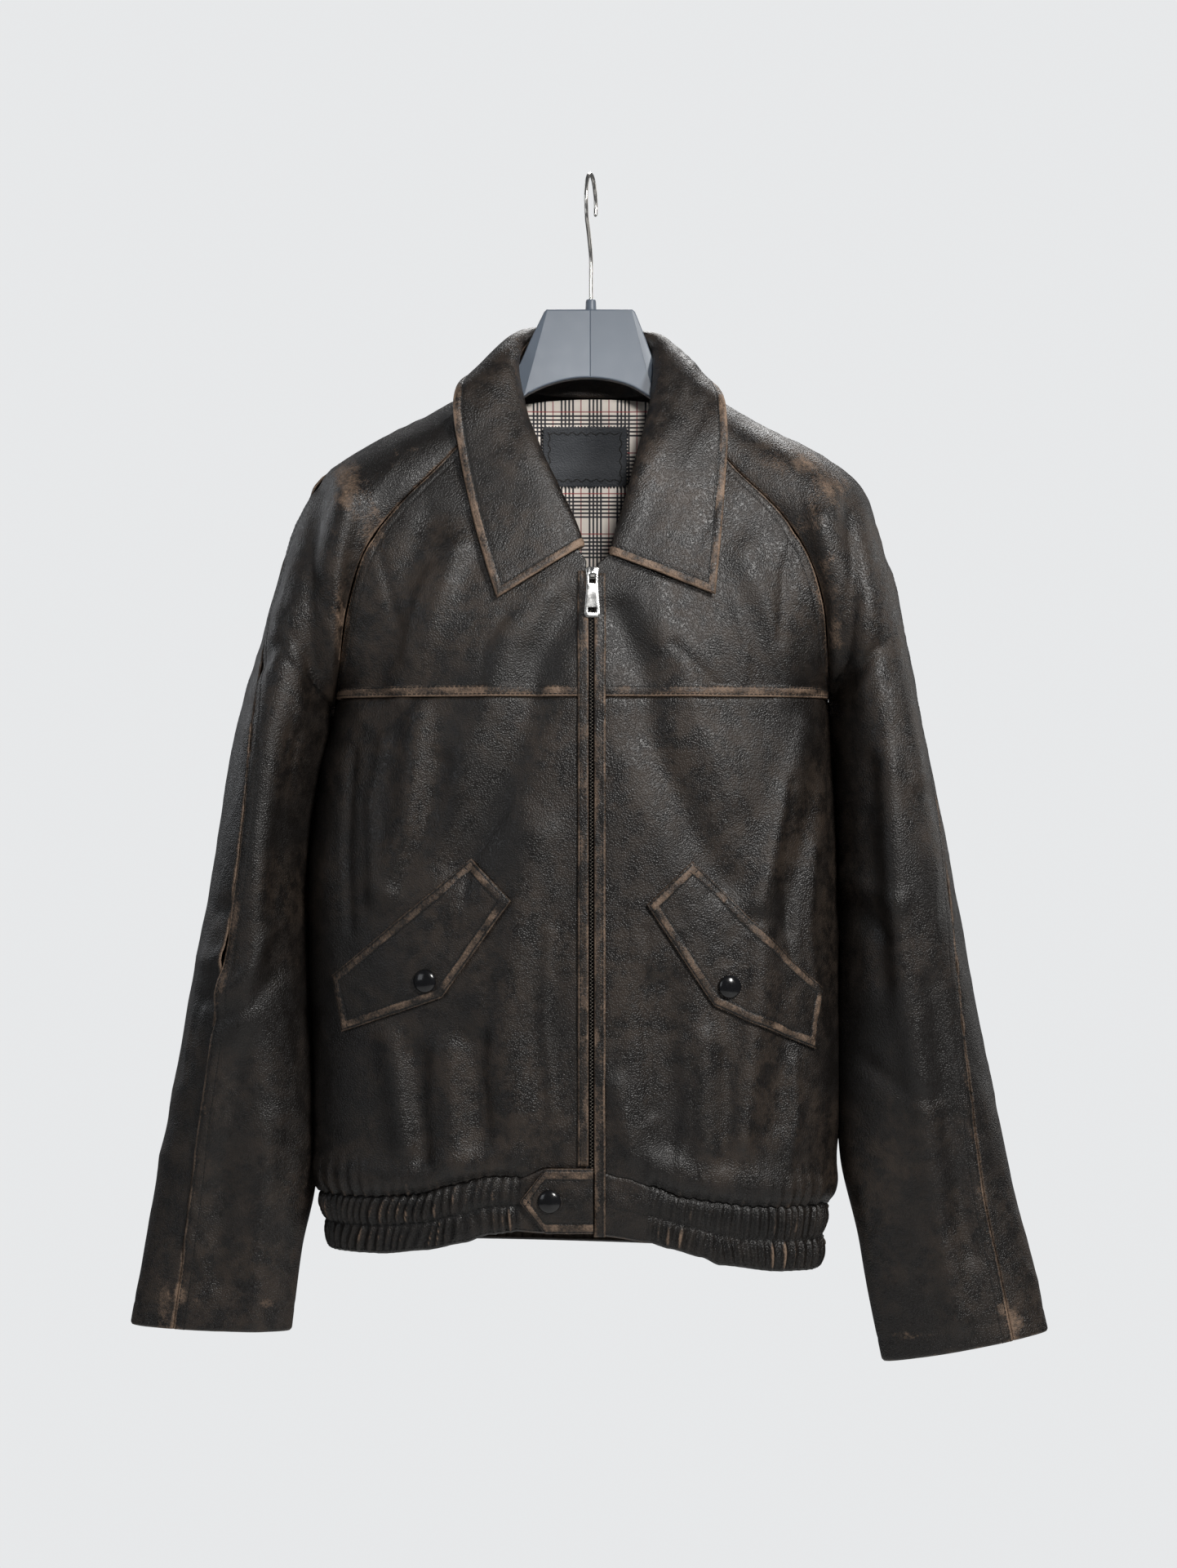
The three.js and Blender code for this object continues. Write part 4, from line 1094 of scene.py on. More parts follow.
def make_yokes(rows):
    for side in ("right", "left"):
        sheet = Sheet(yoke_surface(side), 96, 100, crowd=(0.6, 0.6))
        x, z = sheet.x, sheet.z
        bottom = sheet.from_bottom
        band = smooth((9.0 - bottom) / 1.6)
        sheet.lift(front_relief(x, z) * (1 - 0.7 * band))
        raglan = sheet.to_right
        raglan = raglan - UNDER
        sheet.lift(
            seam_shape(raglan, (NEAR_ROW, RAGLAN_ROW), 2.4, 1.9)
            + rounded(sheet.from_left)
            + puckers(sheet.from_bottom, raglan, 3)
        )
        sheet.lift(0.9 * band + rounded(bottom, 2.0, 1.2) + channel(bottom, 1.9) + channel(bottom, 7.2))
        sheet.lift(puckers(sheet.from_left, bottom, 5, 10, 0.5, 6.0))
        wear = edge_wear(bottom, 1.7, 0.55) + band * (0.5 + 0.3 * noise(x / 13, z / 5, 6))
        wear = wear + edge_wear(raglan, 2.0, 0.45) + 0.2 * np.exp(-((raglan / 8) ** 2)) + patches(x, z)
        sheet.mask("wear", wear)
        # Painted shade: darker along the stitch rows above the yoke seam and by the raglan seam.
        sheet.mask("shade", painted_shade_rows(bottom, (1.9, 7.4)) + painted_shade_rows(raglan, (0.0, 2.2)))
        piece = make_piece(sheet, f"{side}_yoke_leather", replaces=[f"{side}_front_yoke"])
        rows += [row_along(sheet, bottom, 1.9), row_along(sheet, bottom, 7.2)]
        rows += [row_along(sheet, raglan, at, "v") for at in (NEAR_ROW, RAGLAN_ROW)]


def make_lower_fronts(rows):
    for side in ("right", "left"):
        sheet = Sheet(lower_front_surface(side), 104, 170, crowd=(0.3, 0.3))
        x, z = sheet.x, sheet.z
        tame = smooth(sheet.to_top / 16)
        sheet.lift(front_relief(x, z) * (0.3 + 0.7 * tame))
        flat_part = smooth((np.abs(x) - (46 if side == "right" else 36)) / 10)
        place = np.abs(x) * FOOT_EASE
        sheet.lift(blouson(sheet.from_bottom, place, FOOT_SEEDS[side], 9.0) * flat_part)
        sheet.lift(rounded(sheet.to_top - 2 * UNDER, 2.0, 2.0) + rounded(sheet.from_left, 1.6, 0.5))
        sheet.lift(
            0.4 * seam_shape(sheet.to_right, (2.4,)) + puckers(sheet.from_left, sheet.to_top, 7, 9, 0.4)
        )
        sheet.lift(2.2 * np.exp(-((sheet.to_right / 16) ** 2)) * smooth(sheet.to_top / 10))
        ridges = gather(place, FOOT_SEEDS[side], 9.0) * np.exp(-((sheet.from_bottom / 13) ** 2))
        wear = edge_wear(sheet.to_top, 1.6, 0.35) + edge_wear(sheet.from_left, 2.0, 0.4)
        sheet.mask("wear", wear + patches(x, z) + 0.55 * ridges * flat_part)
        # Painted shade: darker at the panel's foot between the gathers' ridges.
        sheet.mask("shade", np.exp(-((sheet.from_bottom / 5) ** 2)) * (1 - ridges))
        piece = make_piece(sheet, f"{side}_front_leather", replaces=[f"{side}_front"])


def make_back(rows):
    sheet = Sheet(back_surface(BACK_WAIST, BACK_NECK_Z), 136, 168, crowd=(0.5, 0.2))
    x, z = sheet.x, sheet.z
    sheet.lift(back_relief(x, z))
    sheet.lift(blouson(sheet.from_bottom, x * FOOT_EASE, 41, 9.5))
    left, right = sheet.from_left, sheet.to_right
    sides = np.minimum(left, right) - UNDER * (z > ARMPIT_Z)
    above = smooth((z - ARMPIT_Z) / 12)
    sheet.lift(
        seam_shape(sides, (NEAR_ROW,), 2.4, 1.9) * (0.4 + 0.6 * above)
        + channel(sides, RAGLAN_ROW) * above
        + rounded(sheet.to_top)
    )
    sheet.lift(1.6 * np.exp(-((sides / 16) ** 2)) * (1 - above))
    ridges = gather(x * FOOT_EASE, 41, 9.5) * np.exp(-((sheet.from_bottom / 13) ** 2))
    sheet.mask("wear", edge_wear(sides, 2.0, 0.45) + 0.55 * ridges + patches(x, z) * 0.8)
    # Painted shade: darker along the side seams and at the foot between the gathers' ridges.
    sheet.mask(
        "shade", 0.7 * np.exp(-((sides / 1.2) ** 2)) + np.exp(-((sheet.from_bottom / 5) ** 2)) * (1 - ridges)
    )
    piece = make_piece(sheet, "back_leather", replaces=["back_panel"])
    for at, start in ((NEAR_ROW, 0.0), (RAGLAN_ROW, 0.62)):
        rows += [row_along(sheet, left, at, "v", start), row_along(sheet, right, at, "v", start)]


def band_relief(sheet, place, gathered, seed):
    """Two puffed rows of gathers, pulled in by a row of stitches along the middle."""
    seam = 2 * UNDER + 0.4
    height = sheet.from_bottom[-1:] - seam + 0 * sheet.from_bottom
    share = np.minimum(sheet.from_bottom / height, 1)
    row = np.where(share < 0.5, share * 2, share * 2 - 1)
    puff = np.sqrt(np.clip(np.sin(np.pi * np.clip(row, 0, 1)), 0, 1))
    slant = 5.0 * noise(place / 26, share * 1.6, seed + 8)
    low = gather(place + slant, seed, 7.6) ** 1.4
    high = gather(place + 3.1 - slant, seed + 6, 7.0) ** 1.4
    ridges = mix(low, high, smooth((share - 0.44) / 0.12))
    plain = rounded(sheet.edge(left=False, right=False), 3.0, 1.6) + 0.5
    height = (
        gathered * ((puff - 0.85) * 3.2 + 5.2 * (ridges - 0.3) * (0.3 + 0.7 * puff))
        + (1 - gathered) * plain
    )
    height = height - 2.4 * smooth((seam + 1.0 - sheet.to_top) / (seam + 1.0))
    return height, ridges * gathered * (0.4 + 0.6 * puff), puff


def make_bands(rows):
    surfaces = {
        "right": front_band_surface("right"), "left": front_band_surface("left"), "back": back_band_surface
    }
    for side, surface in surfaces.items():
        sheet = Sheet(surface, 320 if side == "back" else 180, 28)
        x = sheet.x
        place = sheet.from_left
        if side == "back":
            gathered = np.ones(x.shape)
        else:
            gathered = smooth((np.abs(x) - (48 if side == "right" else 39)) / 5)
        height, ridges, puff = band_relief(
            sheet, place, gathered, {"right": 51, "left": 53, "back": 55}[side]
        )
        sheet.lift(height + 0.3 * noise(x / 7, sheet.z / 7, 15))
        edge = sheet.edge(left=False, right=False)
        streaks = 0.35 * noise(place / 2.2, sheet.z / 16, 57)
        picked = smooth(0.5 + 1.6 * noise(place / 14, sheet.z / 30, 58))
        wear = gathered * (1.6 * (0.25 + picked) * ridges**2.2 + streaks * ridges)
        wear = wear + (1 - gathered) * (edge_wear(edge, 2.0, 0.5) + 0.1)
        sheet.mask("wear", wear)
        # Painted shade: darker between the gathers' ridges and where each puffed row is pinched in.
        sheet.mask(
            "shade", (1 - ridges) * gathered * 0.8 + 0.8 * np.exp(-(((puff - 0.1) / 0.25) ** 2)) * gathered
        )
        piece = make_piece(sheet, f"waistband_{side}_leather", wall=BAND_WALL, replaces=[f"waistband_{side}"])
        count = int(sheet.nv * 0.475)
        rows.append((sheet.points[count], sheet.normals[count]))
        rows.append(row_along(sheet, sheet.from_bottom, NEAR_ROW))


BAND_WALL = 2.5
TAB_TOP = [(-51, -755), (-42, -743), (-33, -731), (-15, -731), (1.5, -731)]
TAB_BOTTOM = [(-51, -756), (-42, -767), (-33, -779), (-15, -779), (1.5, -779)]
TAB_WALL = 2.0
FLAPS = {
    "right": {
        "top": [(-86, -508), (-138, -551), (-188, -594)],
        "bottom": [(-57, -538), (-107, -608), (-181, -635)],
        "snap": (-119, -596),
    },
    "left": {
        "top": [(72, -510), (122, -558), (167, -603)],
        "bottom": [(40, -541), (88, -614), (163, -648)],
        "snap": (99, -600),
    },
}


def outline_surface(top, bottom):
    """A flat piece on the front, between an upper and a lower broken line."""

    def surface(u, v):
        high, low = polyline(top, u), polyline(bottom, u)
        return wall(-1, mix(low[..., 0], high[..., 0], v), mix(low[..., 1], high[..., 1], v))

    return surface


def bound_piece(sheet, lift, rows, inset_rows, skip_right=False):
    """Shape and masks of a stitched piece that lies on the front: a raised rim between its rows."""
    x, z = sheet.x, sheet.z
    sheet.lift(front_relief(x, z) + lift)
    edge = sheet.edge(right=not skip_right)
    rim = smooth((edge - 1.2) / 1.2) * smooth((inset_rows[-1] + 0.2 - edge) / 1.2)
    sheet.lift(seam_shape(edge, inset_rows, 2.2, 1.0) + 0.45 * rim + 0.3 * noise(x / 6, z / 6, 17))
    wear = edge_wear(edge, 1.3, 0.6) + rim * (0.5 + 0.3 * noise(x / 9, z / 9, 18))
    sheet.mask("wear", wear + patches(x, z))
    # Painted shade along the rows of stitches.
    sheet.mask("shade", painted_shade_rows(edge, inset_rows, 0.75))
    for at in inset_rows:
        rows.append(row_along(sheet, sheet.from_bottom, at, "u", 0.06, 0.94))
        rows.append(row_along(sheet, sheet.to_top, at, "u", 0.06, 0.94))
        if not skip_right:
            rows.append(row_along(sheet, sheet.from_left, at, "v", 0.1, 0.9))
            rows.append(row_along(sheet, sheet.to_right, at, "v", 0.1, 0.9))


def make_flaps(rows):
    for side, flap in FLAPS.items():
        sheet = Sheet(outline_surface(flap["top"], flap["bottom"]), 84, 46, crowd=(0.5, 0.6))
        bound_piece(sheet, LIE + LEATHER + 0.4, rows, (1.7, 7.4))
        piece = make_piece(sheet, f"{side}_flap_leather", wall=2.2, replaces=[f"{side}_pocket_flap"])
    sheet = Sheet(outline_surface(TAB_TOP, TAB_BOTTOM), 48, 44, crowd=(0.0, 0.5))
    bound_piece(sheet, LIE + TAB_WALL + 0.6, rows, (1.7, 8.2), skip_right=True)
    piece = make_piece(sheet, "belt_tab_leather", wall=2.4, replaces=["belt_tab"])


# ---------- Sleeves ----------

SLEEVE_FOLDS = {
    ("right", "front"): [
        (5.0, 9, [(-178, -246), (-186, -300), (-186, -352), (-186, -392)]),
        (-6.0, 9, [(-200, -236), (-207, -290), (-204, -350), (-197, -400)]),
        (4.0, 11, [(-226, -330), (-232, -400), (-244, -470), (-246, -560), (-256, -640)]),
        (-3.5, 9, [(-214, -420), (-226, -500), (-232, -580)]),
        (3.5, 9, [(-270, -600), (-284, -700), (-300, -790)]),
        (-3.5, 10, [(-252, -640), (-268, -730), (-276, -820)]),
        (-3.0, 6, [(-226, -352), (-240, -366), (-250, -372)]),
        (3.0, 7, [(-232, -560), (-250, -590), (-276, -610)]),
        (-2.6, 6, [(-226, -590), (-250, -616), (-280, -630)]),
        (3.0, 9, [(-236, -700), (-244, -780), (-250, -850)]),
    ],
    ("left", "front"): [
        (4.5, 9, [(166, -262), (170, -320), (168, -388)]),
        (-5.5, 9, [(190, -248), (192, -300), (186, -352), (183, -396)]),
        (
            4.5, 10,
            [(216, -440), (219, -520), (228, -608), (240, -666), (248, -730), (262, -808), (272, -850)],
        ),
        (-4.0, 9, [(204, -440), (206, -520), (214, -600)]),
        (-3.5, 9, [(250, -600), (264, -700), (280, -800)]),
        (-3.0, 6, [(186, -536), (200, -552), (214, -566)]),
        (3.0, 7, [(190, -520), (206, -534), (224, -540)]),
        (3.0, 8, [(222, -300), (232, -380), (240, -450)]),
        (-2.6, 6, [(204, -660), (230, -680), (250, -684)]),
    ],
    ("right", "back"): [
        (4.0, 10, [(-178, -246), (-186, -310), (-190, -390)]),
        (-5.0, 10, [(-206, -250), (-210, -320), (-204, -396)]),
        (4.0, 12, [(-240, -420), (-246, -540), (-262, -680), (-280, -820)]),
        (-3.5, 10, [(-222, -440), (-232, -560), (-246, -660)]),
        (3.0, 7, [(-230, -548), (-256, -576), (-282, -584)]),
        (-3.0, 7, [(-230, -584), (-256, -606), (-284, -612)]),
        (-2.6, 7, [(-232, -520), (-250, -540), (-272, -548)]),
    ],
    ("left", "back"): [
        (4.0, 10, [(160, -250), (166, -320), (172, -390)]),
        (-5.0, 10, [(186, -256), (188, -320), (186, -396)]),
        (4.0, 12, [(222, -430), (230, -560), (246, -690), (264, -820)]),
        (-3.5, 10, [(206, -440), (212, -560), (226, -660)]),
        (3.0, 7, [(206, -556), (230, -580), (262, -590)]),
        (-3.0, 7, [(206, -590), (232, -614), (264, -620)]),
        (-2.6, 7, [(206, -528), (228, -548), (250, -552)]),
    ],
}


PRESS = 5.6


def make_sleeves(rows):
    for side in ("right", "left"):
        for face in ("front", "back"):
            seed = 61 + 7 * (side == "left") + 3 * (face == "back")
            sheet = Sheet(
                sleeve_surface(side, face), 58 if face == "front" else 84, 236, sleeve_core(side), (0.6, 0.2)
            )
            x, z = sheet.x, sheet.z
            section = sheet.v * LAST_SECTION
            on_body = 1 - smooth((section - ARMPIT_SECTION + 0.1) / 0.45)
            away = smooth(sheet.from_left / 22)
            small = wrinkles(sheet.from_left, sheet.from_bottom, seed, 0.9, 26, 46)
            small = (
                small
                + wrinkles(sheet.from_left + 0.5 * sheet.from_bottom, sheet.from_bottom, seed + 1, 0.45, 11, 20)
            )
            folds = fold_height(SLEEVE_FOLDS[side, face], x, z)
            sheet.lift((small + folds) * away)
            body_seam, top_seam, cuff = sheet.from_left, sheet.to_right, sheet.to_top
            against = (1 - on_body) * smooth((z + 800) / 70)
            sheet.lift(PRESS * against * np.exp(-((body_seam / 24) ** 2)))
            sheet.lift(
                seam_shape(body_seam, (), 2.6, 1.0) * (1 - 0.8 * against)
                + seam_shape(top_seam, (NEAR_ROW, SLEEVE_ROW) if face == "front" else (), 2.4, 1.0)
            )
            sheet.lift(
                rounded(cuff, 2.6, 1.2)
                + channel(cuff, 18.0, 1.4, 0.5)
                + puckers(sheet.from_bottom, top_seam, seed + 4, 10, 0.4)
            )
            wear = edge_wear(body_seam, 2.2, 0.5) * (0.3 + 0.7 * on_body) + edge_wear(top_seam, 2.0, 0.62)
            band = np.exp(-(((top_seam - 4.5) / 3.4) ** 2)) if face == "front" else 0
            wear = (
                wear
                + 0.3 * band * (0.7 + 0.7 * noise(x / 7, z / 12, seed + 6))
                + edge_wear(cuff, 2.0, 0.45)
                + patches(x, z)
            )
            sheet.mask("wear", wear)
            # Painted shade along the body seam, the cuff's stitch row and the top seam's first row.
            shade = painted_shade_rows(body_seam, (0.0,)) + 0.5 * painted_shade_rows(cuff, (18,))
            sheet.mask("shade", shade + (0.8 * painted_shade_rows(top_seam, (2.4,)) if face == "front" else 0))
            piece = make_piece(sheet, f"{side}_sleeve_{face}_leather", replaces=[f"{side}_sleeve_{face}"])
            if face == "front":
                rows += [row_along(sheet, top_seam, at, "v") for at in (NEAR_ROW, SLEEVE_ROW)]


def sleeve_core(side):
    row = along(SLEEVES[side], 0.5)
    return np.array([(row[0] + row[2]) / 2, row[4], (row[1] + row[3]) / 2])


# ---------- Collar ----------

FALL_FRONT = {
    "right": [
        (-8, 3.5, -283, -68, 4.5, -320),
        (-15, 5, -263, -77, 5, -292),
        (-26, 6, -240, -86, 5, -260),
        (-39, 8, -212, -95, 5, -218),
    ],
    "left": [
        (17, 3.5, -289, 90, 4.5, -317),
        (21, 5, -272, 93, 5, -288),
        (29, 6, -246, 96, 5, -256),
        (37, 8, -214, 99, 5, -222),
    ],
}
FALL_BACK = [
    (-51, -41, -178, -101, -50, -182),
    (-57, -24, -146, -99, -34, -162),
    (-55, -3, -124, -92, -2, -154),
    (-44, 18, -113, -87, 47, -163),
    (-22, 33, -112, -50, 66, -184),
    (0, 38, -112, 0, 73, -190),
    (22, 33, -113, 50, 66, -186),
    (38, 20, -115, 87, 49, -166),
    (48, 6, -122, 92, -2, -158),
    (50, -18, -148, 98, -34, -170),
    (46, -38, -178, 100, -50, -192),
]
COLLAR_BULGE = 5.0
COLLAR_WALL = 2.4
ROLL_RADIUS = 2.2
ROLL_TUCK = 7.0
ROLL_SHARE = 0.06
TUCK_SHARE = 0.07
STAND_SEAM = [
    (-60, -38, -200),
    (-70, -22, -168),
    (-70, 2, -156),
    (-58, 26, -156),
    (-32, 41, -159),
    (0, 46, -160),
    (32, 41, -160),
    (58, 28, -158),
    (69, 4, -159),
    (70, -20, -172),
    (60, -36, -204),
]
STAND_TOP = [
    (-42, -39, -200),
    (-53, -23, -150),
    (-51, -2, -130),
    (-41, 15, -119),
    (-20, 29, -117),
    (0, 34, -117),
    (20, 29, -118),
    (36, 17, -120),
    (47, 7, -127),
    (46, -18, -152),
    (40, -38, -200),
]


def on_yoke(row):
    x0, lift0, z0, x1, lift1, z1 = row
    return (x0, float(wall_y(-1, x0, z0)) - lift0, z0, x1, float(wall_y(-1, x1, z1)) - lift1, z1)


def fall_rows():
    front = [on_yoke(row) for row in FALL_FRONT["right"]]
    return front + FALL_BACK + [on_yoke(row) for row in FALL_FRONT["left"][::-1]]


def unit(a):
    return a / np.maximum(np.linalg.norm(a, axis=-1, keepdims=True), 1e-9)


def collar_surface(u, v):
    """The fall from inside the neck (v 0), over the roll, to its outer edge (v 1)."""
    rows = fall_rows()
    row = along(rows, u)
    roll, edge = row[..., :3], row[..., 3:]
    out = edge - roll
    run = along(rows, np.minimum(u + 0.01, 1))[..., :3] - along(rows, np.maximum(u - 0.01, 0))[..., :3]
    away = unit(np.cross(run, out))
    down = unit(out)
    fall = np.clip((v - TUCK_SHARE - ROLL_SHARE) / (1 - TUCK_SHARE - ROLL_SHARE), 0, 1)
    middle = 1 - smooth((np.abs(u - 0.5) - 0.3) / 0.2)
    bulge = mix(1.5, COLLAR_BULGE, middle) * np.sin(np.pi * np.sqrt(fall))
    on_fall = roll + out * fall[..., None] + away * bulge[..., None]
    turn = np.pi * np.clip((TUCK_SHARE + ROLL_SHARE - v) / ROLL_SHARE, 0, 1)
    centre = roll - away * ROLL_RADIUS
    on_roll = centre + ROLL_RADIUS * (away * np.cos(turn)[..., None] - down * np.sin(turn)[..., None])
    inside = np.clip((TUCK_SHARE - v) / TUCK_SHARE, 0, 1) * ROLL_TUCK
    on_roll = on_roll + down * inside[..., None]
    return np.where((v >= TUCK_SHARE + ROLL_SHARE)[..., None], on_fall, on_roll)


def make_collar(rows):
    sheet = Sheet(collar_surface, 240, 48, (0, 0, -170), (0.35, 0.45))
    fall = smooth((sheet.v - 0.2) / 0.15)
    a, b = sheet.from_left, sheet.to_top
    sheet.lift(COLLAR_WALL * 0.8 + 0.8 * noise(a / 34, b / 26, 71) * fall + 0.25 * noise(a / 11, b / 11, 72))
    edge = sheet.edge(bottom=False)
    sheet.lift(
        rounded(edge, 2.6, 1.3) + channel(edge, 6.6, 0.9, 0.55) + 0.35 * np.exp(-(((edge - 3.6) / 2.2) ** 2))
    )
    rim = smooth((7.0 - edge) / 1.5)
    on_roll = np.exp(-(((sheet.v - TUCK_SHARE - ROLL_SHARE) / 0.06) ** 2))
    wear = edge_wear(edge, 1.5, 0.5) + rim * (0.48 + 0.3 * noise(a / 11, b / 11, 73)) + 0.25 * on_roll
    sheet.mask("wear", wear)
    # Painted shade along the row of stitches inside the edge.
    sheet.mask("shade", painted_shade_rows(edge, (6.8,)))
    piece = make_piece(
        sheet, "collar_fall_leather", wall=COLLAR_WALL, inner="leather", replaces=["collar_fall"]
    )
    rows.append(row_along(sheet, sheet.to_top, 6.6, "u", 0.03, 0.97))
    rows.append(row_along(sheet, sheet.from_left, 6.6, "v", 0.16, 0.9))
    rows.append(row_along(sheet, sheet.to_right, 6.6, "v", 0.16, 0.9))

    def stand_surface(u, v):
        return mix(along(STAND_SEAM, u), along(STAND_TOP, u), v[..., None])

    stand = Sheet(stand_surface, 150, 20)
    stand.lift(LEATHER / 2 + wrinkles(stand.from_left, stand.from_bottom, 75, 0.4, 20, 14))
    stand.mask("wear", edge_wear(stand.to_top, 4.0, 0.4))
    piece = make_piece(stand, "collar_stand_leather", inner="leather", replaces=["collar_stand"])


# ---------- Lining and label ----------

LINING_LIFT = -5.0
LINING_SPAN = {"from": 0.06, "to": 0.94, "bottom": (-738.0, -742.0), "top": -160.0}
LABEL = {"left": -37.0, "right": 28.0, "bottom": -225.0, "top": -180.0, "wall": 1.0}
PINKING = 1.9


def make_lining(rows):
    whole = back_surface(LINING_SPAN["bottom"], LINING_SPAN["top"])

    def surface(u, v):
        return whole(mix(LINING_SPAN["from"], LINING_SPAN["to"], u), v)

    sheet = Sheet(surface, 64, 84)
    sheet.lift(
        LINING_LIFT
        + 0.9 * noise(sheet.x / 34, sheet.z / 60, 81)
        + 0.5 * noise(sheet.x / 14, sheet.z / 24, 82)
    )
    piece = make_piece(sheet, "back_lining_cloth", "lining", LINING, None, ["back_lining"])

    teeth = (52, 36)

    def label_surface(u, v):
        jag_u = PINKING * (np.rint(v * teeth[1]) % 2 - 0.5) * ((u < 1e-6).astype(float) - (u > 1 - 1e-6))
        jag_v = PINKING * (np.rint(u * teeth[0]) % 2 - 0.5) * ((v < 1e-6).astype(float) - (v > 1 - 1e-6))
        x = mix(LABEL["left"], LABEL["right"], u) + jag_u
        return wall(1, x, mix(LABEL["bottom"], LABEL["top"], v) + jag_v)

    label = Sheet(label_surface, *teeth)
    label.lift(LINING_LIFT - LINING - 1.2)
    piece = make_piece(label, "neck_label_patch", "patch", LABEL["wall"], None, ["neck_label"])
    inset = -LABEL["wall"] - 0.05
    for far, axis in (
        (label.from_bottom, "u"), (label.to_top, "u"), (label.from_left, "v"), (label.to_right, "v")
    ):
        line, ups = row_along(label, far, 5.0, axis, 0.08, 0.92)
        rows.append((line + ups * inset, -ups))


# ---------- Zip ----------

STRIPS = {
    "right": (-9.5, -1.8, -300.0, -729.5),
    "left": (2.2, 10.4, -302.0, -782.0),
}
STRIP_LIFT = 1.0
STRIP_WALL = 1.2
TOOTH_PITCH = 2.6
TEETH_X = 0.25
SLIDER = {"x": 1.0, "top": -297.0, "bottom": -306.0, "half": 5.0, "wall": 2.6, "arch": 1.4}
BAR = 1.6
HINGE_Y = -85.937  # depth of the line that the pull swings about
PULL = {"length": 33.0, "top": 4.2, "end": 5.8, "eye": 2.4}


def make_strips(rows):
    for side, (x0, x1, top, bottom) in STRIPS.items():
        sheet = Sheet(lambda u, v: wall(-1, mix(x0, x1, u), mix(bottom, top, v)), 10, 260)
        sheet.lift(STRIP_LIFT + STRIP_WALL + 0.2 + 0.35 * noise(sheet.x / 20, sheet.z / 16, 4))
        sheet.lift(rounded(sheet.edge(), 1.8, 0.8) + 0.25 * noise(sheet.x / 3, sheet.z / 8, 91))
        edge = sheet.edge()
        sheet.mask("wear", edge_wear(edge, 1.3, 0.35) + 0.34 + 0.22 * noise(sheet.x / 4, sheet.z / 13, 92))
        piece = make_piece(
            sheet, f"{side}_zip_strip_leather", wall=STRIP_WALL, replaces=[f"{side}_zip_strip"]
        )
        outer = sheet.from_left if side == "right" else sheet.to_right
        rows.append(row_along(sheet, outer, 2.0, "v"))
    tape = Sheet(lambda u, v: wall(-1, mix(-5.0, 5.0, u), mix(-778.0, ZIP_TOP_Z - 5, v)), 10, 240)
    tape.lift(-LEATHER - 0.2 + 0.35 * noise(tape.x / 20, tape.z / 16, 4))
    piece = make_piece(tape, "zip_tape_cloth", "tape", 0.8, None, ["zip_tape"])


def small_box(bm, size, place, bevel=0.0):
    """A box of a size, moved to a place, with bevelled edges."""
    made = bmesh.ops.create_cube(
        bm, size=1.0, matrix=Matrix.Translation(place) @ Matrix.Diagonal((*size, 1.0))
    )
    if bevel:
        edges = list({e for v in made["verts"] for e in v.link_edges})
        bmesh.ops.bevel(bm, geom=edges, offset=bevel, affect="EDGES", segments=2, profile=0.5, material=-1)


def bm_piece(name, bm, material, body=BODY, replaces=(), sharp=35):
    """The piece of a bmesh in millimetres."""
    bmesh.ops.scale(bm, verts=bm.verts, vec=(MM, MM, MM))
    mesh = bpy.data.meshes.new(name)
    bm.to_mesh(mesh)
    bm.free()
    mesh.materials.append(MATERIALS[material])
    mesh.shade_smooth()
    if sharp:
        mesh.set_sharp_from_angle(angle=math.radians(sharp))
    piece = bpy.data.objects.new(name, mesh)
    bpy.context.scene.collection.objects.link(piece)
    return finish_piece(piece, body, replaces)


def make_teeth():
    """Metal teeth of both sides, each a little block with its head towards the other side's."""
    bm = bmesh.new()
    count = int((778 + ZIP_TOP_Z - 16) / TOOTH_PITCH)
    for k in range(count):
        for towards in (-1, 1):
            z = ZIP_TOP_Z - 14 - TOOTH_PITCH * (k + 0.25 * (1 + towards))
            x = TEETH_X + 0.55 * towards
            y = float(wall_y(-1, x, z)) + 0.1
            small_box(bm, (1.3, 1.5, 1.0), (x, y, z))
    return bm_piece("zip_teeth", bm, "teeth", sharp=0)


def slider_face():
    return HINGE_Y + 0.7 + BAR / 2 + SLIDER["wall"]


def plate_of(bm, outline, lift, thick):
    """A plate across Y: an outline in x and z, from y = lift towards the front by its thickness."""
    verts = [bm.verts.new((x, lift, z)) for x, z in outline]
    face = bm.faces.new(verts)
    moved = bmesh.ops.extrude_face_region(bm, geom=[face])
    bmesh.ops.translate(
        bm, verts=[v for v in moved["geom"] if isinstance(v, bmesh.types.BMVert)], vec=(0, -thick, 0)
    )


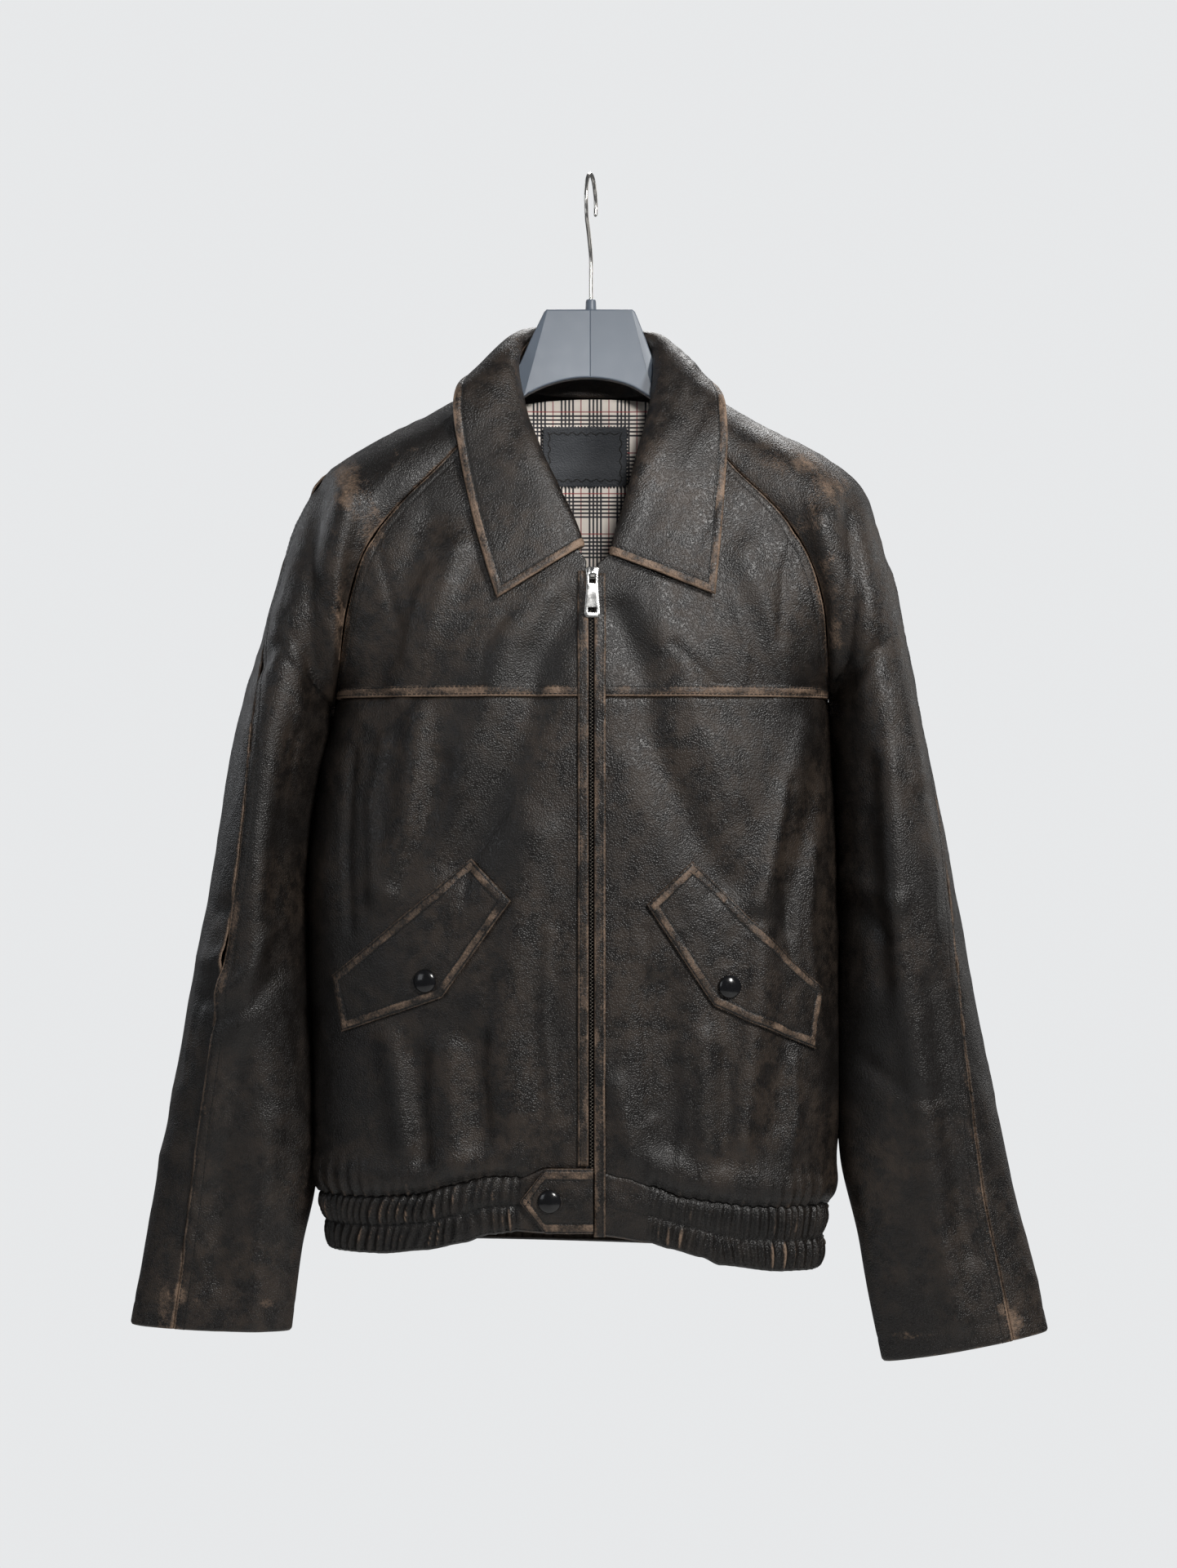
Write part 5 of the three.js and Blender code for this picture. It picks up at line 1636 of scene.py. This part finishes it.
def make_slider():
    bm = bmesh.new()
    x, face = SLIDER["x"], slider_face()
    high, low, half = SLIDER["top"], SLIDER["bottom"], SLIDER["half"]
    outline = [(-half, high - 1.2), (-half * 0.6, high), (half * 0.6, high), (half, high - 1.2)]
    outline += [(half * 0.92, low + 3.4), (half * 0.62, low), (-half * 0.62, low), (-half * 0.92, low + 3.4)]
    plate_of(bm, [(x + a, b) for a, b in outline], face, SLIDER["wall"])
    bmesh.ops.recalc_face_normals(bm, faces=bm.faces)
    bmesh.ops.bevel(bm, geom=list(bm.edges), offset=0.6, affect="EDGES", segments=3, profile=0.5, material=-1)
    front, middle = face - SLIDER["wall"], (high + low) / 2
    arch = [
        (4.0, -0.2), (3.8, 2.2), (2.6, 4.2), (0.9, 4.9), (-0.9, 4.9), (-2.6, 4.2), (-3.8, 2.2), (-4.0, -0.2)
    ]
    hole = [
        (2.3, -0.2), (2.25, 1.7), (1.6, 2.9), (0.6, 3.4), (-0.6, 3.4), (-1.6, 2.9), (-2.25, 1.7), (-2.3, -0.2)
    ]
    ring = []
    for offset in (-SLIDER["arch"], SLIDER["arch"]):
        ring.append([bm.verts.new((x + offset, front - out, middle + up)) for up, out in arch])
        ring.append([bm.verts.new((x + offset, front - out, middle + up)) for up, out in hole])
    made = []
    for a, b in ((0, 2), (3, 1), (1, 0), (2, 3)):
        for k in range(len(arch) - 1):
            made.append(bm.faces.new((ring[a][k], ring[a][k + 1], ring[b][k + 1], ring[b][k])))
    for k in (0, -1):
        made.append(bm.faces.new((ring[0][k], ring[2][k], ring[3][k], ring[1][k])))
    bmesh.ops.recalc_face_normals(bm, faces=made)
    edges = list({e for f in made for e in f.edges if e.calc_face_angle(0) > 0.9})
    bmesh.ops.bevel(bm, geom=edges, offset=0.3, affect="EDGES", segments=2, profile=0.5, material=-1)
    return bm_piece("zip_slider_metal", bm, "nickel", replaces=["zip_slider"])


def make_pull():
    """The pull: a tapered plate with an eye for its bar and a slot near its end."""
    face = slider_face()
    x = SLIDER["x"]
    y = face - SLIDER["wall"] - 0.7 - BAR / 2
    z = (SLIDER["top"] + SLIDER["bottom"]) / 2
    bm = bmesh.new()
    length, top, end, eye, half = PULL["length"], PULL["top"], PULL["end"], PULL["eye"], BAR / 2
    levels = [half, -half, -7.5, -10.0, -25.0, -28.5, half - length + 1.6, half - length]
    widths = [top - 0.6, top, top, top + 0.15, end - 0.35, end, end - 0.1, end - 2.0]
    holes = [None, eye, eye, None, 3.0, 3.2, None, None]
    rows = []
    for level, width, hole in zip(levels, widths, holes):
        inner = hole if hole is not None else width * 0.45
        rows.append([bm.verts.new((x + a, y + half, z + level)) for a in (-width, -inner, inner, width)])
    for k in range(len(levels) - 1):
        for j in range(3):
            open_here = j == 1 and holes[k] is not None and holes[k + 1] is not None
            if not open_here:
                bm.faces.new((rows[k][j], rows[k][j + 1], rows[k + 1][j + 1], rows[k + 1][j]))
    made = bmesh.ops.extrude_face_region(bm, geom=list(bm.faces))
    bmesh.ops.translate(
        bm, verts=[v for v in made["geom"] if isinstance(v, bmesh.types.BMVert)], vec=(0, -BAR, 0)
    )
    bmesh.ops.recalc_face_normals(bm, faces=bm.faces)
    edges = [e for e in bm.edges if len(e.link_faces) == 2 and e.calc_face_angle(0) > 0.9]
    bmesh.ops.bevel(bm, geom=edges, offset=0.35, affect="EDGES", segments=3, profile=0.5, material=-1)
    return bm_piece("zip_pull_metal", bm, "nickel", PULL_BODY, ["zip_pull"])


# ---------- Snaps ----------

SNAP_PROFILE = [
    (0.0, 0.0), (7.8, 0.0), (8.3, 0.3), (8.5, 0.8), (8.35, 1.4), (7.7, 2.2), (6.5, 3.0), (4.9, 3.7),
    (3.0, 4.2), (1.4, 4.38), (0.0, 4.4),
]


def make_snaps():
    flap_lift = LIE + LEATHER + 0.8
    places = {
        "right_flap_snap": (*FLAPS["right"]["snap"], flap_lift),
        "left_flap_snap": (*FLAPS["left"]["snap"], flap_lift),
        "belt_tab_snap": (-30, -755, LIE + TAB_WALL + 0.4),
    }
    for name, (x, z, lift) in places.items():
        at = wall(-1, x, z)
        du = wall(-1, x + 4, z) - wall(-1, x - 4, z)
        dv = wall(-1, x, z + 4) - wall(-1, x, z - 4)
        normal = unit(np.cross(du, dv))
        lift = lift + float(front_relief(np.array(float(x)), np.array(float(z))))
        bm = bmesh.new()
        verts = [bm.verts.new((r, 0, h)) for r, h in SNAP_PROFILE]
        edges = [bm.edges.new(pair) for pair in zip(verts, verts[1:])]
        bmesh.ops.spin(
            bm, geom=verts + edges, cent=(0, 0, 0), axis=(0, 0, 1), angle=math.tau, steps=48, use_merge=True
        )
        bmesh.ops.remove_doubles(bm, verts=bm.verts, dist=0.01)
        bmesh.ops.recalc_face_normals(bm, faces=bm.faces)
        turn = Vector((0, 0, 1)).rotation_difference(Vector(normal)).to_matrix()
        bmesh.ops.rotate(bm, verts=bm.verts, cent=(0, 0, 0), matrix=turn)
        bmesh.ops.translate(bm, verts=bm.verts, vec=Vector(at + normal * lift))
        bm_piece(f"{name}_cap", bm, "snap", replaces=[name], sharp=0)


# ---------- Hanger ----------

HANGER_OUTLINE = [
    (-35, -102), (-33, -100), (31, -100), (33, -102), (41, -122), (51, -150), (66, -166), (102, -185),
    (153, -208), (183, -226), (189, -235), (182, -243), (150, -228), (98, -204), (46, -167),
    (24, -155), (-3, -151), (-28, -155), (-52, -166), (-100, -196), (-150, -222), (-182, -240),
    (-190, -233), (-185, -222), (-169, -211), (-103, -179), (-70, -160), (-53, -140), (-46, -124),
]
HANGER_DEPTH = 12.0
BOSS_PROFILE = [
    (0.0, -99.9), (4.3, -99.9), (4.0, -98.6), (3.8, -93.6), (3.5, -92.5), (2.8, -92.0), (0.0, -92.0)
]
WIRE = 3.0
HOOK_BOW = 21.0
HOOK_TURN = math.radians(10)


HANGER_RIDGES = (((-33.5, -100.5), (-49, -162)), ((31.6, -100.5), (46.7, -165)))
FACET_DEPTH = 2.6


def cut(bm, place, normal):
    """Cut a bmesh by a plane and give the edges of the cut."""
    made = bmesh.ops.bisect_plane(
        bm, geom=list(bm.verts) + list(bm.edges) + list(bm.faces), plane_co=place, plane_no=normal
    )
    return [e for e in made["geom_cut"] if isinstance(e, bmesh.types.BMEdge)]


def hanger_outline():
    """The outline with its shoulders and its lower arch rounded."""
    points = HANGER_OUTLINE[:6]
    points += [tuple(p) for p in along(HANGER_OUTLINE[5:10], np.linspace(0, 1, 17))[1:]]
    points += HANGER_OUTLINE[10:12]
    points += [tuple(p) for p in along(HANGER_OUTLINE[11:21], np.linspace(0, 1, 46))[1:]]
    points += HANGER_OUTLINE[21:24]
    points += [tuple(p) for p in along(HANGER_OUTLINE[23:28], np.linspace(0, 1, 17))[1:]]
    return points + HANGER_OUTLINE[28:]


def make_hanger():
    bm = bmesh.new()
    verts = [bm.verts.new((x, -HANGER_DEPTH / 2, z)) for x, z in hanger_outline()]
    face = bm.faces.new(verts)
    step = bmesh.ops.extrude_face_region(bm, geom=[face])
    far_side = [v for v in step["geom"] if isinstance(v, bmesh.types.BMVert)]
    bmesh.ops.translate(bm, verts=far_side, vec=(0, HANGER_DEPTH, 0))
    bmesh.ops.recalc_face_normals(bm, faces=bm.faces)
    for (x0, z0), (x1, z1) in HANGER_RIDGES:
        cut(bm, (x0, 0, z0), (z1 - z0, 0, x0 - x1))
    cut(bm, (0, 0, -168), (0, 0, 1))
    for v in bm.verts:
        (x0, z0), (x1, z1) = HANGER_RIDGES[v.co.x > 0]
        line_x = x0 + (x1 - x0) * (v.co.z - z0) / (z1 - z0)
        outside = (abs(v.co.x) - abs(line_x)) * (v.co.z > -190)
        v.co.y *= 1 - FACET_DEPTH / (HANGER_DEPTH / 2) * min(max(outside / 8, 0), 1)
    rims = [e for e in bm.edges if e.calc_face_angle(0) > 1.0]
    bmesh.ops.bevel(bm, geom=rims, offset=1.3, affect="EDGES", segments=3, profile=0.5, material=-1)
    seam = [e for e in cut(bm, (-0.5, 0, 0), (1, 0, 0)) if abs(e.verts[0].co.y) > 5.5]
    made = bmesh.ops.bevel(bm, geom=seam, offset=0.4, affect="EDGES", segments=2, profile=0.5, material=-1)
    for v in made["verts"]:
        if abs(v.co.x + 0.5) < 0.1:
            v.co.y *= 1 - 0.35 / (HANGER_DEPTH / 2)
    bm_piece("hanger_plate", bm, "hanger", replaces=["hanger_body"], sharp=12)

    bm = bmesh.new()
    verts = [bm.verts.new((r, 0, z)) for r, z in BOSS_PROFILE]
    edges = [bm.edges.new(pair) for pair in zip(verts, verts[1:])]
    bmesh.ops.spin(
        bm, geom=verts + edges, cent=(0, 0, 0), axis=(0, 0, 1), angle=math.tau, steps=32, use_merge=True
    )
    bmesh.ops.remove_doubles(bm, verts=bm.verts, dist=0.01)
    bmesh.ops.recalc_face_normals(bm, faces=bm.faces)
    bm_piece("hanger_ferrule", bm, "hanger", replaces=["hanger_boss"])


def hook_path():
    points = [(0, -91.6), (0, -76), (-0.5, -60), (-8, -46), (-17.5, -34)]
    rise = WIRE / 2
    for degrees in range(200, -21, -20):
        a = math.radians(degrees)
        points.append((HOOK_BOW * math.cos(a), rise - HOOK_BOW + HOOK_BOW * math.sin(a)))
    yz = along(points, np.linspace(0, 1, 110))
    return np.stack([yz[:, 0] * math.sin(HOOK_TURN), yz[:, 0] * math.cos(HOOK_TURN), yz[:, 1]], -1)


def make_hook():
    """The hook's wire, rings carried along its path, with a rounded tip."""
    path = hook_path()
    runs = unit(np.gradient(path, axis=0))
    aside = np.array([math.cos(HOOK_TURN), -math.sin(HOOK_TURN), 0.0])
    sizes = np.ones(len(path))
    sizes[-3:] = (0.94, 0.75, 0.35)
    bm = bmesh.new()
    rings = []
    for centre, run, size in zip(path, runs, sizes):
        up = np.cross(run, aside)
        circle = bmesh.ops.create_circle(bm, segments=16, radius=WIRE / 2 * size)["verts"]
        basis = Matrix((aside, up, run)).transposed()
        bmesh.ops.rotate(bm, verts=circle, cent=(0, 0, 0), matrix=basis)
        bmesh.ops.translate(bm, verts=circle, vec=Vector(centre))
        rings.append(circle)
    for low, high in zip(rings, rings[1:]):
        for k in range(16):
            bm.faces.new((low[k], low[k - 15], high[k - 15], high[k]))
    for ring in (rings[0], rings[-1]):
        bm.faces.new(ring)
    bmesh.ops.recalc_face_normals(bm, faces=bm.faces)
    bm_piece("hanger_hook_wire", bm, "wire", replaces=["hanger_hook"], sharp=60)


# ---------- Stage ----------


def aim(obj, target):
    direction = Vector(target) - obj.location
    obj.rotation_euler = direction.to_track_quat("-Z", "Y").to_euler()


def area_light(name, place, target, size, power, color):
    data = bpy.data.lights.new(name, "AREA")
    data.shape = "RECTANGLE"
    data.size, data.size_y = size
    data.energy = power
    data.color = color
    light = bpy.data.objects.new(name, data)
    light.location = place
    bpy.context.scene.collection.objects.link(light)
    aim(light, target)
    return light


def make_stage(stage):
    scene = bpy.context.scene
    data = bpy.data.cameras.new("Camera")
    data.lens = stage.lens
    data.sensor_fit = "VERTICAL"
    data.sensor_height = 36.0
    data.clip_start = 0.05
    camera = bpy.data.objects.new("Camera", data)
    camera.location = (-0.0018, -stage.distance, stage.height)
    camera.rotation_euler = (math.radians(90), 0, 0)
    scene.collection.objects.link(camera)
    scene.camera = camera

    middle = (0, 0, -0.46)
    key, fill = stage.key_power, stage.fill_power
    area_light("Key", (1.25, -1.9, 0.8), middle, (0.5, 0.7), key, (1.0, 0.985, 0.965))
    area_light("Fill", (-2.0, -1.7, 0.1), middle, (1.2, 1.4), fill, (0.93, 0.965, 1.0))
    neck = bpy.data.lights.new("Neck", "SPOT")
    neck.energy = stage.neck_power
    neck.spot_size = math.radians(8)
    neck.spot_blend = 0.9
    neck.shadow_soft_size = 0.12
    lamp = bpy.data.objects.new("Neck", neck)
    lamp.location = (0.25, -2.3, 0.12)
    scene.collection.objects.link(lamp)
    aim(lamp, (0, 0.03, -0.205))
    area_light("Back", (0.3, 1.9, 1.35), middle, (1.2, 0.7), key * 0.5, (1.0, 0.99, 0.98))
    area_light("Rim left", (-1.7, 1.2, 0.5), middle, (0.8, 1.6), fill * 0.9, (0.95, 0.97, 1.0))
    area_light("Rim right", (1.8, 1.1, 0.2), middle, (0.8, 1.6), fill * 0.9, (1.0, 0.98, 0.95))

    world = bpy.data.worlds.new("Pale room")
    world.use_nodes = True
    tree = world.node_tree
    background = tree.nodes["Background"]
    rays = tree.nodes.new("ShaderNodeLightPath")
    choose = tree.nodes.new("ShaderNodeMix")
    choose.data_type = "RGBA"
    tree.links.new(rays.outputs["Is Camera Ray"], choose.inputs["Factor"])
    choose.inputs[6].default_value = (0.09, 0.093, 0.098, 1)
    choose.inputs[7].default_value = (*tuple(stage.backdrop)[:3], 1)
    tree.links.new(choose.outputs[2], background.inputs["Color"])
    scene.world = world
    scene.view_settings.view_transform = "Standard"

    material, tree, shader, coordinates = new_material("Pale floor", 0.8)
    cloud = noise_node(tree, coordinates.outputs["Object"], 3.0, 2.0)
    tree.links.new(
        mix_color(tree, cloud, (0.74, 0.74, 0.73), (0.78, 0.78, 0.77)), shader.inputs["Base Color"]
    )
    bm = bmesh.new()
    bmesh.ops.create_circle(bm, cap_ends=True, segments=96, radius=1.9)
    bmesh.ops.translate(bm, verts=bm.verts, vec=(0, 0, -1.75))
    mesh = bpy.data.meshes.new("Floor")
    bm.to_mesh(mesh)
    bm.free()
    mesh.materials.append(material)
    floor = bpy.data.objects.new("Floor", mesh)
    scene.collection.objects.link(floor)


# ---------- Settings, operators and panel ----------


class JacketLook(bpy.types.PropertyGroup):
    """Colours of the leather."""

    dark: bpy.props.FloatVectorProperty(
        name="Leather", description="Dark leather where nothing rubs", subtype="COLOR", size=4,
        default=(0.0075, 0.0060, 0.0052, 1), min=0, max=1,
    )
    brown: bpy.props.FloatVectorProperty(
        name="Mottling", description="Browner leather in soft clouds", subtype="COLOR", size=4,
        default=(0.034, 0.0235, 0.0165, 1), min=0, max=1,
    )
    rubbed: bpy.props.FloatVectorProperty(
        name="Rubbed leather",
        description="Leather worn pale along edges and on the shoulders",
        subtype="COLOR",
        size=4, default=(0.215, 0.145, 0.10, 1), min=0, max=1,
    )


class JacketStitching(bpy.types.PropertyGroup):
    """Sizes of the stitches."""

    pitch: bpy.props.FloatProperty(
        name="Stitch pitch",
        description="Distance between stitches, in millimetres",
        default=3.5, min=1.5, max=8
    )
    size: bpy.props.FloatProperty(
        name="Thread",
        description="Thickness of the thread, as a share of its usual size",
        default=1.3, min=0.3, max=2
    )


class JacketStage(bpy.types.PropertyGroup):
    """Camera, light and backdrop."""

    distance: bpy.props.FloatProperty(
        name="Camera distance",
        description="Distance of the camera in front of the jacket",
        unit="LENGTH", default=2.5
    )
    height: bpy.props.FloatProperty(
        name="Camera height",
        description="Height of the camera from the hook's bow",
        unit="LENGTH", default=-0.454
    )
    lens: bpy.props.FloatProperty(
        name="Lens", description="Focal length in millimetres", default=76.8, min=20, max=200
    )
    key_power: bpy.props.FloatProperty(name="Key light", description="Power in watts", default=60.0, min=0)
    fill_power: bpy.props.FloatProperty(name="Fill light", description="Power in watts", default=9.0, min=0)
    neck_power: bpy.props.FloatProperty(name="Neck light", description="Power in watts", default=170.0, min=0)
    backdrop: bpy.props.FloatVectorProperty(
        name="Backdrop", description="Colour seen behind the jacket", subtype="COLOR", size=4,
        default=(0.80, 0.81, 0.82, 1), min=0, max=1,
    )


class PieceOperator:
    """What the operators share."""

    bl_options = {"REGISTER", "UNDO"}

    def execute(self, context):
        if not MATERIALS:
            make_materials(context.scene.jacket_look)
        rows = []
        self.build(context, rows)
        if rows:
            stitching = context.scene.jacket_stitching
            rows = [row for row in rows if len(row[0]) > 2]
            add_stitches(self.threads, rows, stitching.pitch, stitching.size)
        return {"FINISHED"}


class JACKET_OT_fronts(PieceOperator, bpy.types.Operator):
    """Make the front yokes and the panels below them"""

    bl_idname = "jacket.fronts"
    bl_label = "Fronts"
    threads = "front_stitches"

    def build(self, context, rows):
        make_yokes(rows)
        make_lower_fronts(rows)


class JACKET_OT_back(PieceOperator, bpy.types.Operator):
    """Make the back panel"""

    bl_idname = "jacket.back"
    bl_label = "Back"
    threads = "back_stitches"

    def build(self, context, rows):
        make_back(rows)


class JACKET_OT_sleeves(PieceOperator, bpy.types.Operator):
    """Make the four sleeve halves"""

    bl_idname = "jacket.sleeves"
    bl_label = "Sleeves"
    threads = "sleeve_stitches"

    def build(self, context, rows):
        make_sleeves(rows)


class JACKET_OT_collar(PieceOperator, bpy.types.Operator):
    """Make the collar's fall and stand"""

    bl_idname = "jacket.collar"
    bl_label = "Collar"
    threads = "collar_stitches"

    def build(self, context, rows):
        make_collar(rows)


class JACKET_OT_waistband(PieceOperator, bpy.types.Operator):
    """Make the gathered waistband"""

    bl_idname = "jacket.waistband"
    bl_label = "Waistband"
    threads = "waistband_stitches"

    def build(self, context, rows):
        make_bands(rows)


class JACKET_OT_flaps(PieceOperator, bpy.types.Operator):
    """Make the pocket flaps and the belt tab"""

    bl_idname = "jacket.flaps"
    bl_label = "Flaps and tab"
    threads = "flap_stitches"

    def build(self, context, rows):
        make_flaps(rows)


class JACKET_OT_lining(PieceOperator, bpy.types.Operator):
    """Make the plaid lining and the neck patch"""

    bl_idname = "jacket.lining"
    bl_label = "Lining"
    threads = "patch_stitches"

    def build(self, context, rows):
        make_lining(rows)


class JACKET_OT_zip(PieceOperator, bpy.types.Operator):
    """Make the zip: strips, tape, teeth, slider and pull"""

    bl_idname = "jacket.zip"
    bl_label = "Zip"
    threads = "strip_stitches"

    def build(self, context, rows):
        make_strips(rows)
        make_teeth()
        make_slider()
        make_pull()


class JACKET_OT_snaps(PieceOperator, bpy.types.Operator):
    """Make the snap caps"""

    bl_idname = "jacket.snaps"
    bl_label = "Snaps"

    def build(self, context, rows):
        make_snaps()


class JACKET_OT_hanger(PieceOperator, bpy.types.Operator):
    """Make the hanger's plate, ferrule and hook"""

    bl_idname = "jacket.hanger"
    bl_label = "Hanger"

    def build(self, context, rows):
        make_hanger()
        make_hook()


class JACKET_OT_stage(bpy.types.Operator):
    """Make the camera, lights, floor and world"""

    bl_idname = "jacket.stage"
    bl_label = "Stage"
    bl_options = {"REGISTER", "UNDO"}

    def execute(self, context):
        make_stage(context.scene.jacket_stage)
        return {"FINISHED"}


OPERATORS = (
    JACKET_OT_stage,
    JACKET_OT_fronts,
    JACKET_OT_back,
    JACKET_OT_sleeves,
    JACKET_OT_collar,
    JACKET_OT_waistband,
    JACKET_OT_flaps,
    JACKET_OT_lining,
    JACKET_OT_zip,
    JACKET_OT_snaps,
    JACKET_OT_hanger,
)


class JACKET_PT_panel(bpy.types.Panel):
    """The jacket's settings and the operators that make its pieces"""

    bl_label = "Jacket"
    bl_idname = "JACKET_PT_panel"
    bl_space_type = "VIEW_3D"
    bl_region_type = "UI"
    bl_category = "Jacket"

    def draw(self, context):
        scene = context.scene
        for group in (scene.jacket_look, scene.jacket_stitching, scene.jacket_stage):
            box = self.layout.box()
            for name in group.__annotations__:
                box.prop(group, name)
        column = self.layout.column(align=True)
        for operator in OPERATORS:
            column.operator(operator.bl_idname)


CLASSES = (JacketLook, JacketStitching, JacketStage, *OPERATORS, JACKET_PT_panel)


def register():
    for item in CLASSES:
        bpy.utils.register_class(item)
    bpy.types.Scene.jacket_look = bpy.props.PointerProperty(type=JacketLook)
    bpy.types.Scene.jacket_stitching = bpy.props.PointerProperty(type=JacketStitching)
    bpy.types.Scene.jacket_stage = bpy.props.PointerProperty(type=JacketStage)


def unregister():
    del bpy.types.Scene.jacket_look
    del bpy.types.Scene.jacket_stitching
    del bpy.types.Scene.jacket_stage
    for item in reversed(CLASSES):
        bpy.utils.unregister_class(item)


def main():
    register()
    for operator in OPERATORS:
        group, name = operator.bl_idname.split(".")
        getattr(getattr(bpy.ops, group), name)()


if __name__ == "__main__":
    main()
